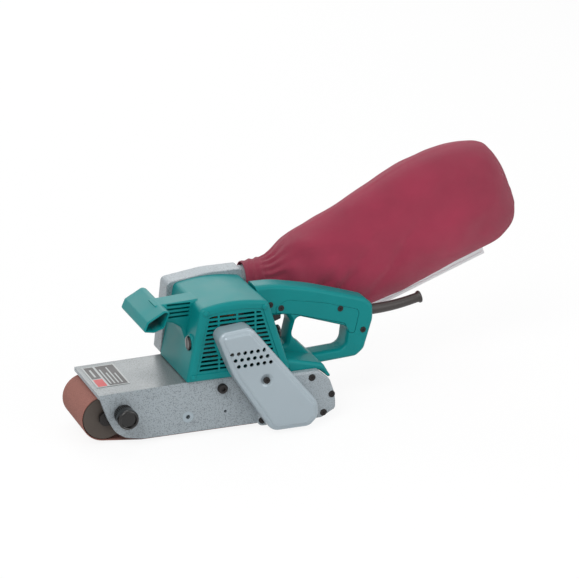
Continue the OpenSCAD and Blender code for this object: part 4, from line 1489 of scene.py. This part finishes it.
@dataclass
class RearHandle(Assembly):
    """The closed rear handle with its side cover, trigger, cord guard and the hood over the gears."""

    shape: Outline = (
        (98, 66, 0), (106.6, 66, 0), (150, 51, 8), (203, 54, 12), (213, 62, 12), (224, 98, 25),
        (223.5, 115, 8), (214, 123.5, 9), (190, 131.5, 60), (150, 143.8, 200), (104, 153.6, 120),
        (66, 153.6, 0), (66, 140, 0),
    )
    grip_hole: Outline = (
        (148, 64, 7), (189, 66, 11), (192, 91.5, 6), (130, 112.5, 6), (123.5, 90, 10),
    )
    trigger_gap: Outline = (
        (70, 80, 0), (116.5, 80, 4), (123, 107, 6), (118, 115.5, 5), (70, 117.5, 0),
    )
    hood: Outline = (
        (98, 66, 0), (98, 58, 0), (143, 58, 0), (154.5, 48.4, 0.4), (158, 49, 1.5), (148.5, 65.5, 9),
        (111, 75, 80), (98, 77, 0),
    )
    hood_hollow: Outline = (
        (90, 40, 0), (153, 40, 0), (153.8, 48.6, 0), (146.5, 61.8, 7), (111, 71.6, 70), (90, 73, 0),
    )
    body_side: Outline = (
        (50, 50, 0), (107.2, 50, 0), (107.2, 65.8, 0), (80.7, 151.3, 0), (80.4, 160, 0), (50, 160, 0),
    )
    panel: Outline = (
        (104, 119.6, 2), (128, 115, 3), (188, 97, 5), (194, 84, 3), (200.3, 84, 3), (206.5, 111.5, 6),
        (162, 125.4, 100), (117, 134.2, 8), (104, 127, 3),
    )
    cavity: Outline = (
        (107, 122, 1), (128, 117.8, 2), (189, 99.8, 3), (196, 88, 1), (200, 88, 1), (208, 110, 3),
        (190, 122, 3), (150, 136, 80), (112, 143, 3), (107, 141, 1),
    )
    trigger: Outline = (
        (97.2, 109, 2), (104, 105.6, 9), (113.8, 109, 2), (113.8, 127, 1), (97.2, 127, 1),
    )
    screws: Pairs = ((97.6, 130.4), (110.6, 125), (182.4, 115.5), (210.4, 86.5))
    half: float = 14.3
    rear: float = 203.0
    cord_level: float = 104.8
    guard_bore: float = 4.2
    guard_arc: float = 50.0
    guard_bend: float = 230.0
    guard_steps: int = 12
    guard_sides: int = 40

    def build(self) -> None:
        """Builds every piece."""
        self.build_body()
        self.build_cover()
        self.build_trigger()
        self.build_guard()

    def build_body(self) -> None:
        """The handle with rounded rims, and the hood as one moulding."""
        half = self.half
        body = slab(
            "moulded_handle",
            self.shape,
            rim(-half, half, (7.5, 4.8), (7.5, 4.8)),
            holes=(self.grip_hole,),
            steps=10,
        )
        flare = [
            (-5.5, -half - 1),
            (-3.0, -half + 0.6),
            (-1.2, -half + 2.6),
            (0, -half + 5),
            (0, half - 5),
            (-1.2, half - 2.6),
            (-5.5, half + 1),
        ]
        combine(body, slab("gap", self.trigger_gap, flare, steps=8))
        hood = slab("hood", self.hood, rim(-50.5, 44, (5, 4), (5, 4)), steps=8)
        combine(hood, slab("hollow", self.hood_hollow, rim(-47.5, 41, (2, 1.6), (2, 1.6)), steps=8))
        combine(body, hood, how=Join.ADD)
        cuts = [
            slab("body_side", self.body_side, [(0, -60), (0, 60)]),
            slab("cavity", self.cavity, [(0, -11.7), (0, 11.5)], steps=8),
            slab("panel", self.panel, [(0, -16), (0, -11.6)], steps=8),
            block((96.5, -5.3, 105), (114.5, 5.3, 134)),
            lathe(
                "bore",
                [(0, 0), (0, 6.4), (27, 6.4), (27, 0)],
                Vector((self.rear, 0, self.cord_level)),
                REARWARD,
            ),
            lathe(
                "groove",
                [(0, 0), (0, 8.3), (3.2, 8.3), (3.2, 0)],
                Vector((self.rear, 0, self.cord_level)),
                REARWARD,
            ),
            rod((152, 128), 3.7, 10.5, 16),
            *[rod(at, 3.6, -17, -12.7) for at in self.screws],
        ]
        combine(body, *cuts)
        self.shop.fit(body, "teal_plastic", "teal_plastic", "frame", "handle_body")

    def build_cover(self) -> None:
        """The side cover in its recess, and the four screws."""
        cover = slab(
            "handle_side_cover",
            inset(self.panel, 0.28),
            rim(-self.half + 0.05, -11.8, near=(0.7, 0.6)),
            steps=8,
        )
        combine(cover, *[rod(at, 3.6, -17, -12.9) for at in self.screws[1:3]])
        self.shop.fit(cover, "teal_plastic", "teal_plastic", "frame", "handle_cover")
        screws = self.shop.screws("cross_head_handle_screws", self.screws, -13.7, 0.0034, 0.0019)
        self.shop.fit(screws, "black_steel", "dark_steel", "frame", "handle_screws")

    def build_trigger(self) -> None:
        """The trigger with softened sides."""
        trigger = slab("finger_trigger", self.trigger, rim(-5, 5, (1.6, 1.3), (1.6, 1.3)), steps=8)
        self.shop.fit(trigger, "black_plastic", "black_plastic", "switch_trigger", "trigger")

    def build_guard(self) -> None:
        """The tapered cord guard with its flared end."""
        turn = self.guard_arc / self.guard_bend
        stations = [(203.3, 8.1), (206.0, 8.1), (206.2, 6.3), (225, 6.2)]
        path = [(Vector((x, 0, self.cord_level)), 0.0, r) for x, r in stations]
        for step in range(1, self.guard_steps + 1):
            angle = turn * step / self.guard_steps
            reach, rise = self.guard_bend * math.sin(angle), self.guard_bend * (1 - math.cos(angle))
            at = Vector((226 + reach, 0, self.cord_level + rise))
            path.append((at, angle, 6.2 - 0.5 * step / self.guard_steps))
        end, along = path[-1][0], Vector((math.cos(turn), 0, math.sin(turn)))
        for reach, radius in ((7.0, 5.7), (8.2, 6.2), (9.0, 7.0), (10.2, 7.3), (11.4, 7.1), (12.0, 6.4)):
            path.append((end + along * reach, turn, radius))
        back = list(reversed(path[:1] + path[3:]))
        path += [(at, angle, self.guard_bore if index else 4.6) for index, (at, angle, _) in enumerate(back)]
        data = bmesh.new()
        rings = []
        spin = [2 * math.pi * k / self.guard_sides for k in range(self.guard_sides)]
        for at, angle, radius in path:
            up = Vector((-math.sin(angle), 0, math.cos(angle)))
            ring = [at + up * radius * math.cos(a) + FARWARD * radius * math.sin(a) for a in spin]
            rings.append([data.verts.new(point * MM) for point in ring])
        bridge(data, [*rings, rings[0]])
        bmesh.ops.recalc_face_normals(data, faces=data.faces)
        self.shop.fit(
            as_object("tapered_cord_guard", data), "guard_rubber", "black_rubber", "frame", "cord_guard"
        )


@dataclass
class TrackingKnob(Assembly):
    """The knob that steers the sanding belt."""

    centre: Pair = (-89, 39.5)
    base: float = -51.3
    bore: float = 3.1
    rib_count: int = 30
    profile: Pairs = (
        (0, 0), (0, 10.0), (10.4, 10.3), (11.2, 11.2), (12.2, 11.6), (20.6, 11.6), (21.8, 11.2),
        (22.5, 10.4), (22.7, 9.6), (22.2, 8.8), (20.8, 8.5), (19.4, 8.2), (19.0, 7.4), (18.9, 0),
    )

    def build(self) -> None:
        """The cupped head and the ribbed base."""
        at = Vector((self.centre[0], self.base, self.centre[1]))
        knob = lathe("cupped_knob", self.profile, at, NEARWARD, 64)
        combine(knob, rod(self.centre, self.bore, -68.9, -50))
        self.shop.fit(knob, "gloss_black", "black_plastic", "knob", "tracking_knob")
        black = self.shop.palette.materials["black_plastic"]
        sizes = {
            "Count": self.rib_count,
            "Radius": 0.0104,
            "Centre": Vector((self.centre[0], -56.9, self.centre[1])) * MM,
            "Rib": Vector((1.0, 1.0, 9.6)) * MM,
        }
        self.shop.fit(
            self.shop.makers.ribs.make("knob_ribs", black, sizes), "black_plastic", "black_plastic", "knob"
        )


@dataclass
class RatingPlate(Assembly):
    """The plate on the deck, with plain blocks of colour and no lettering."""

    low: float = -111.0
    high: float = -73.0
    near: float = -28.0
    far: float = 36.0
    deck_front: Pair = (-116.3, 63.7)
    deck_rise: float = 2.0
    deck_run: float = 100.3
    ink: Pair = (0.4, 0.06)
    line: Pair = (0.46, 0.05)

    def patch(
        self, x0: float, x1: float, y0: float, y1: float, lift: float, depth: float
    ) -> bpy.types.Object:
        """A thin patch that lies along the sloping deck.

        Args:
            x0: front edge.
            x1: rear edge.
            y0: near edge.
            y1: far edge.
            lift: height of its underside over the deck.
            depth: its thickness.

        Returns:
            The patch.
        """

        def height(x: float) -> float:
            """Height of the deck at x."""
            return self.deck_front[1] + (x - self.deck_front[0]) * self.deck_rise / self.deck_run

        under = [(x, height(x) + lift, 0) for x in (x0, x1)]
        over = [(x, height(x) + lift + depth, 0) for x in (x1, x0)]
        corners = [*under, *over]
        return slab("patch", corners, [(0, y0), (0, y1)])

    def build(self) -> None:
        """The foil, the dark fields, the pale lines and the red field."""
        foil = self.patch(self.low, self.high, self.near, self.far, 0.1, 0.3)
        foil.name = "rating_foil"
        self.shop.fit(foil, "label_foil", "plate_foil", "frame", "nameplate")
        dark = [self.patch(-96, -75, -26, 34, *self.ink), self.patch(-109, -98.5, -2, 34, *self.ink)]
        self.shop.fit(merge("rating_dark_fields", dark), "label_dark", "plate_foil", "frame")
        self.shop.fit(
            merge("rating_red_field", [self.patch(-109, -98.5, -26, -4, *self.ink)]),
            "label_red",
            "plate_foil",
            "frame",
        )
        pale = [
            self.patch(-94 + 4.4 * k, -92.4 + 4.4 * k, -22, (24, 12, 28, 8)[k], *self.line) for k in range(4)
        ]
        pale.append(self.patch(-105, -102.8, 3, 26, *self.line))
        self.shop.fit(merge("rating_pale_bars", pale), "label_foil", "plate_foil", "frame")


def hill(place: float, middle: float, width: float, power: int = 2) -> float:
    """A smooth rise and fall.

    Args:
        place: where it is read.
        middle: where it is 1.
        width: how far from the middle it has fallen to a third.
        power: 2 for a bell, and more for steeper sides.

    Returns:
        A height from 0 to 1.
    """
    return math.exp(-(((place - middle) / width) ** power))


@dataclass
class DustBag(Assembly):
    """The cloth dust bag, gathered on the nozzle and filled towards its closed end."""

    rings: tuple[tuple[Pair, Pair, float, float], ...] = (
        ((87, 161.0), (87, 119.0), 17.4, 54.1), ((105, 162), (108, 118.2), 17.8, 54.1),
        ((122, 164.5), (128, 113), 21.5, 56.1), ((147, 186), (157, 95), 32, 57.1),
        ((190, 206), (206, 86), 37, 57.1), ((240, 232), (262, 98.8), 41, 57.1),
        ((290, 257), (315, 117.5), 42, 57.1), ((335, 271), (365, 138), 42, 57.1),
        ((368, 274), (399, 150), 40, 57.1), ((389, 270), (415, 160), 33, 57.1),
        ((406, 250), (426, 173), 21, 57.1), ((415, 230), (430, 192), 9, 57.1),
    )
    between: int = 9
    around: int = 144
    cloth: float = 0.9
    gathers: int = 17
    creases: Pairs = ((2.7, 4.2), (3.3, 3.2), (4.4, 2.2))
    chart_step: Pair = (0.0038, 0.0024)
    tip_reach: Corner = (0.0035, 0, 0.0005)

    def station(self, place: float) -> list[float]:
        """The ring at a place along the bag, smoothed through its neighbours.

        Args:
            place: ring number, with a fraction.

        Returns:
            Top X and Z, bottom X and Z, half width and centre Y.
        """
        flat = [[*top, *low, half, centre] for top, low, half, centre in self.rings]
        index = min(int(place), len(flat) - 2)
        t = place - index
        a, b, c, d = (flat[max(0, min(len(flat) - 1, index + k))] for k in (-1, 0, 1, 2))
        return [
            0.5 * (2 * q + (r - p) * t + (2 * p - 5 * q + 4 * r - s) * t * t + (3 * q - p - 3 * r + s) * t**3)
            for p, q, r, s in zip(a, b, c, d)
        ]

    def fold(self, place: float, angle: float, point: Vector) -> float:
        """How far the cloth stands out of its smooth form.

        Args:
            place: ring number, with a fraction.
            angle: angle round the ring from its top.
            point: the smooth point, in millimetres.

        Returns:
            The distance, in millimetres.
        """
        wander = 1.3 * noise.noise(point * 0.02 + Vector((3.1, 0, 0)))
        held = 1 - 0.85 * abs(math.cos(angle)) ** 5
        loose = min(1.0, max(0.0, (place - 1.6) / 1.6)) * min(1.0, max(0.0, (11.0 - place) / 2.0))
        cuff = hill(place, 0.75, 0.6) * (
            0.5 + 0.5 * math.sin(13 * place + 1.4 * math.sin(2 * angle) + wander)
        )
        gather = hill(place, 1.9, 0.7) * (0.5 + 0.5 * math.sin(self.gathers * angle + 2.6 * wander))
        pull = hill(place, 3.1, 1.3) * math.sin(5 * angle - 2.3 * place + 3 * wander)
        crumple = noise.noise(point * 0.016) * 4.2 + noise.noise(point * 0.05) * 1.5
        crease = 0.0
        for start, depth in self.creases:
            lean = place - start - 1.5 * (2.3 - angle)
            crease -= depth * hill(lean, 0.0, 0.16) * hill(angle, 1.95, 0.5, 4)
        seam = 0.9 * hill(math.sin(angle), 0.0, 0.035)
        swell = (2.6 * pull + crumple + crease) * held + seam
        return 1.7 * cuff + 2.4 * gather + swell * loose

    def build(self) -> None:
        """The bag as a thin closed skin, open at the nozzle."""
        data = bmesh.new()
        chart = data.loops.layers.uv.new("cloth")
        grid = []
        count = (len(self.rings) - 1) * self.between
        for step in range(count + 1):
            place = step / self.between
            top_x, top_z, low_x, low_z, half, centre = self.station(place)
            middle = Vector(((top_x + low_x) / 2, centre, (top_z + low_z) / 2))
            up = Vector((top_x - low_x, 0, top_z - low_z)) / 2
            flat = 0.92 if place < 2 else 0.86
            ring = []
            for k in range(self.around):
                angle = 2 * math.pi * k / self.around
                c, s = math.cos(angle), math.sin(angle)
                c, s = math.copysign(abs(c) ** flat, c), math.copysign(abs(s) ** flat, s)
                out = up.normalized() * c * half + NEARWARD * s * up.length
                point = middle + up * c + Vector((0, -half, 0)) * s
                point += out.normalized() * self.fold(place, angle, point)
                ring.append(data.verts.new(point * MM))
            grid.append(ring)
        for row, (lower, upper) in enumerate(zip(grid, grid[1:])):
            for k in range(self.around):
                after = (k + 1) % self.around
                face = data.faces.new((lower[k], upper[k], upper[after], lower[after]))
                for loop, (u, v) in zip(face.loops, ((row, k), (row + 1, k), (row + 1, k + 1), (row, k + 1))):
                    loop[chart].uv = (u * self.chart_step[0], v * self.chart_step[1])
        tip = data.verts.new(sum((v.co for v in grid[-1]), Vector()) / self.around + Vector(self.tip_reach))
        for k in range(self.around):
            face = data.faces.new((grid[-1][k], tip, grid[-1][(k + 1) % self.around]))
            for loop in face.loops:
                loop[chart].uv = (loop.vert.co.y, loop.vert.co.z)
        bmesh.ops.recalc_face_normals(data, faces=data.faces)
        bag = as_object("gathered_dust_bag", data)
        skin = bag.modifiers.new("cloth", "SOLIDIFY")
        skin.thickness = self.cloth * MM
        skin.offset = -1
        shade(settle(bag), 60)
        self.shop.fit(bag, "bag_cloth", "bag_cloth", "bag", "dust_bag")


@dataclass
class KeptNodes(Assembly):
    """The CAD nodes that keep their own shape, and the finish of each."""

    finishes: dict[str, tuple[str, ...]] = field(
        default_factory=lambda: {
            "black_plastic": ("lock_button", "cord_clamp", "bag_collar", "switch_body"),
            "dark_plastic": ("cooling_fan", "dust_fan", "brush_holders"),
            "yellow_case": ("capacitor",),
            "bright_steel": (
                "drum_shaft", "pinion_shaft", "drum_gear", "armature_shaft", "arm_pivot_pin", "lever_pin",
                "tension_spring", "brush_springs", "drum_bearings", "pinion_bearings", "motor_bearings",
                "platen", "tracking_screw",
            ),
            "laminated_steel": ("stator_core", "armature_core"),
            "black_steel": ("tension_carriage", "roller_arm", "tension_lever", "front_roller_axle"),
            "turned_alloy": ("drum_core", "large_pulley", "small_pulley"),
            "roller_end": ("front_roller", "front_roller_bearings"),
            "copper": ("field_coils", "commutator"),
            "black_rubber": ("drum_lagging", "drive_belt", "platen_pad", "carbon_brushes", "graphite_sheet"),
            "abrasive_grit": ("sanding_belt",),
            "white_plastic": ("bag_rail",),
        }
    )
    edge: float = 0.8
    # Faces that point up more than level and lie above the deck's lowest height take the darker deck silver:
    # painted shade.
    level: float = 0.97
    painted_shade_deck_low: float = 61.0
    stand_hole: Pair = (-13.7, 24.4)
    plate_face: float = -51.0

    def build(self, nodes: dict[str, bpy.types.Object]) -> None:
        """Dresses the kept nodes, breaks the edges of the main casting and paints shade on the top of its
        deck.

        Args:
            nodes: the CAD nodes by name.
        """
        casting = softened(nodes["main_frame"], "main_casting", self.edge)
        self.shop.fit(casting, "hammered_silver", "frame_silver", "frame", "main_frame")
        # The top faces of the deck take a darker copy of the same silver: painted shade.
        casting.data.materials.append(self.shop.palette.materials["painted_shade_deck_silver"])
        for face in casting.data.polygons:
            if face.normal.z > self.level and face.center.z > self.painted_shade_deck_low * MM:
                face.material_index = 1
        seat = lathe(
            "seat",
            [(0.15, 0), (0.15, 6.5), (0.8, 6.5), (0.8, 0)],
            Vector((self.stand_hole[0], self.plate_face, self.stand_hole[1])),
            FARWARD,
        )
        combine(seat, rod(self.stand_hole, 2.5, -52, -49))
        seat.name = "machined_stand_seat"
        self.shop.fit(seat, "cover_silver", "frame_silver", "frame")
        for finish, names in self.finishes.items():
            for name in names:
                self.shop.palette.dress(nodes[name], finish)
        LOG.info("kept nodes: %d", sum(len(names) for names in self.finishes.values()))


@dataclass
class Studio:
    """The pale floor, the soft light and the camera."""

    eye: Corner = (-0.87006, -2.65255, 1.13502)
    aim: Corner = (0.12497, -0.00241, 0.1417)
    lens: float = 164.93
    sensor: float = 36.0
    ambient: float = 0.36
    floor_share: float = 0.84
    floor_glow: float = 1.06
    lamp_aim: Corner = (0.1, 0.0, 0.08)
    lamps: tuple[tuple[str, Corner, float, float], ...] = (
        ("key", (-1.5, -1.6, 2.3), 1.6, 38.0),
        ("fill", (1.7, -1.9, 1.3), 1.8, 17.0),
        ("top", (0.3, 0.5, 2.4), 1.6, 8.0),
        ("rear", (0.2, 2.3, 1.4), 1.8, 14.0),
    )

    def build(self) -> None:
        """Builds the floor, the lamps, the world and the camera."""
        self.build_floor()
        self.build_world()
        for name, place, size, power in self.lamps:
            self.lamp(name, place, size, power)
        camera = placed("camera", bpy.data.cameras.new("camera"))
        self.point(camera, self.eye, self.aim)
        camera.data.lens = self.lens
        camera.data.sensor_width = self.sensor
        camera.data.clip_end = 50
        bpy.context.scene.camera = camera
        bpy.context.scene.view_settings.view_transform = "Standard"

    def lamp(self, name: str, place: Corner, size: float, power: float) -> None:
        """Adds a square soft lamp that faces the machine.

        Args:
            name: the lamp's name.
            place: where it hangs.
            size: its side.
            power: its power in watts.
        """
        data = bpy.data.lights.new(name, "AREA")
        data.energy = power
        data.size = size
        self.point(placed(name, data), place, self.lamp_aim)

    @staticmethod
    def point(obj: bpy.types.Object, place: Corner, aim: Corner) -> None:
        """Puts a lamp or a camera in its place, pointed at its aim."""
        obj.location = place
        obj.rotation_euler = (Vector(aim) - Vector(place)).to_track_quat("-Z", "Y").to_euler()

    @staticmethod
    def seen(graph: Graph) -> bpy.types.NodeSocket:
        """Tells what is seen directly, in a mirror or through glass.

        Args:
            graph: the tree that asks.

        Returns:
            A socket that is 1 for such rays.
        """
        path = graph.add("ShaderNodeLightPath")
        both = graph.maths(path.outputs["Is Camera Ray"], path.outputs["Is Glossy Ray"], "MAXIMUM")
        return graph.maths(both, path.outputs["Is Transmission Ray"], "MAXIMUM")

    def build_floor(self) -> None:
        """A wide pale floor that shows as white and keeps the machine's shadow."""
        data = bmesh.new()
        bmesh.ops.create_grid(data, x_segments=2, y_segments=2, size=8)
        floor = as_object("floor", data)
        material = bpy.data.materials.new("pale_floor")
        graph = Graph.of(material)
        matt = graph.add("ShaderNodeBsdfDiffuse", {"Color": (0.8, 0.8, 0.8, 1.0)})
        glow = graph.add("ShaderNodeEmission", {"Color": WHITE, "Strength": self.floor_glow})
        share = graph.maths(self.seen(graph), self.floor_share, "MULTIPLY")
        mixed = graph.add("ShaderNodeMixShader", {0: share, 1: matt.outputs[0], 2: glow.outputs[0]})
        graph.add("ShaderNodeOutputMaterial", {"Surface": mixed.outputs[0]})
        floor.data.materials.append(material)

    def build_world(self) -> None:
        """A white surround that lights the machine softly."""
        world = bpy.data.worlds.new("surround")
        graph = Graph.of(world)
        strength = graph.add(
            "ShaderNodeMapRange", {0: self.seen(graph), 1: 0.0, 2: 1.0, 3: self.ambient, 4: 1.0}
        )
        colour = graph.add("ShaderNodeBackground", {"Color": WHITE, "Strength": strength.outputs[0]})
        graph.add("ShaderNodeOutputWorld", {"Surface": colour.outputs[0]})
        bpy.context.scene.world = world


def main() -> None:
    """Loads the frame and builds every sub-assembly."""
    logging.basicConfig(level=logging.INFO, format="%(name)s: %(message)s")
    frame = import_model()
    Studio().build()
    shop = Shop(Palette(), Makers())
    KeptNodes(shop).build(frame["nodes"])
    for assembly in (BeltDrive, MotorCasing, DustFanCasing, RearHandle, TrackingKnob, RatingPlate, DustBag):
        LOG.info("building %s", assembly.__name__)
        assembly(shop).build()


if __name__ == "__main__":
    main()
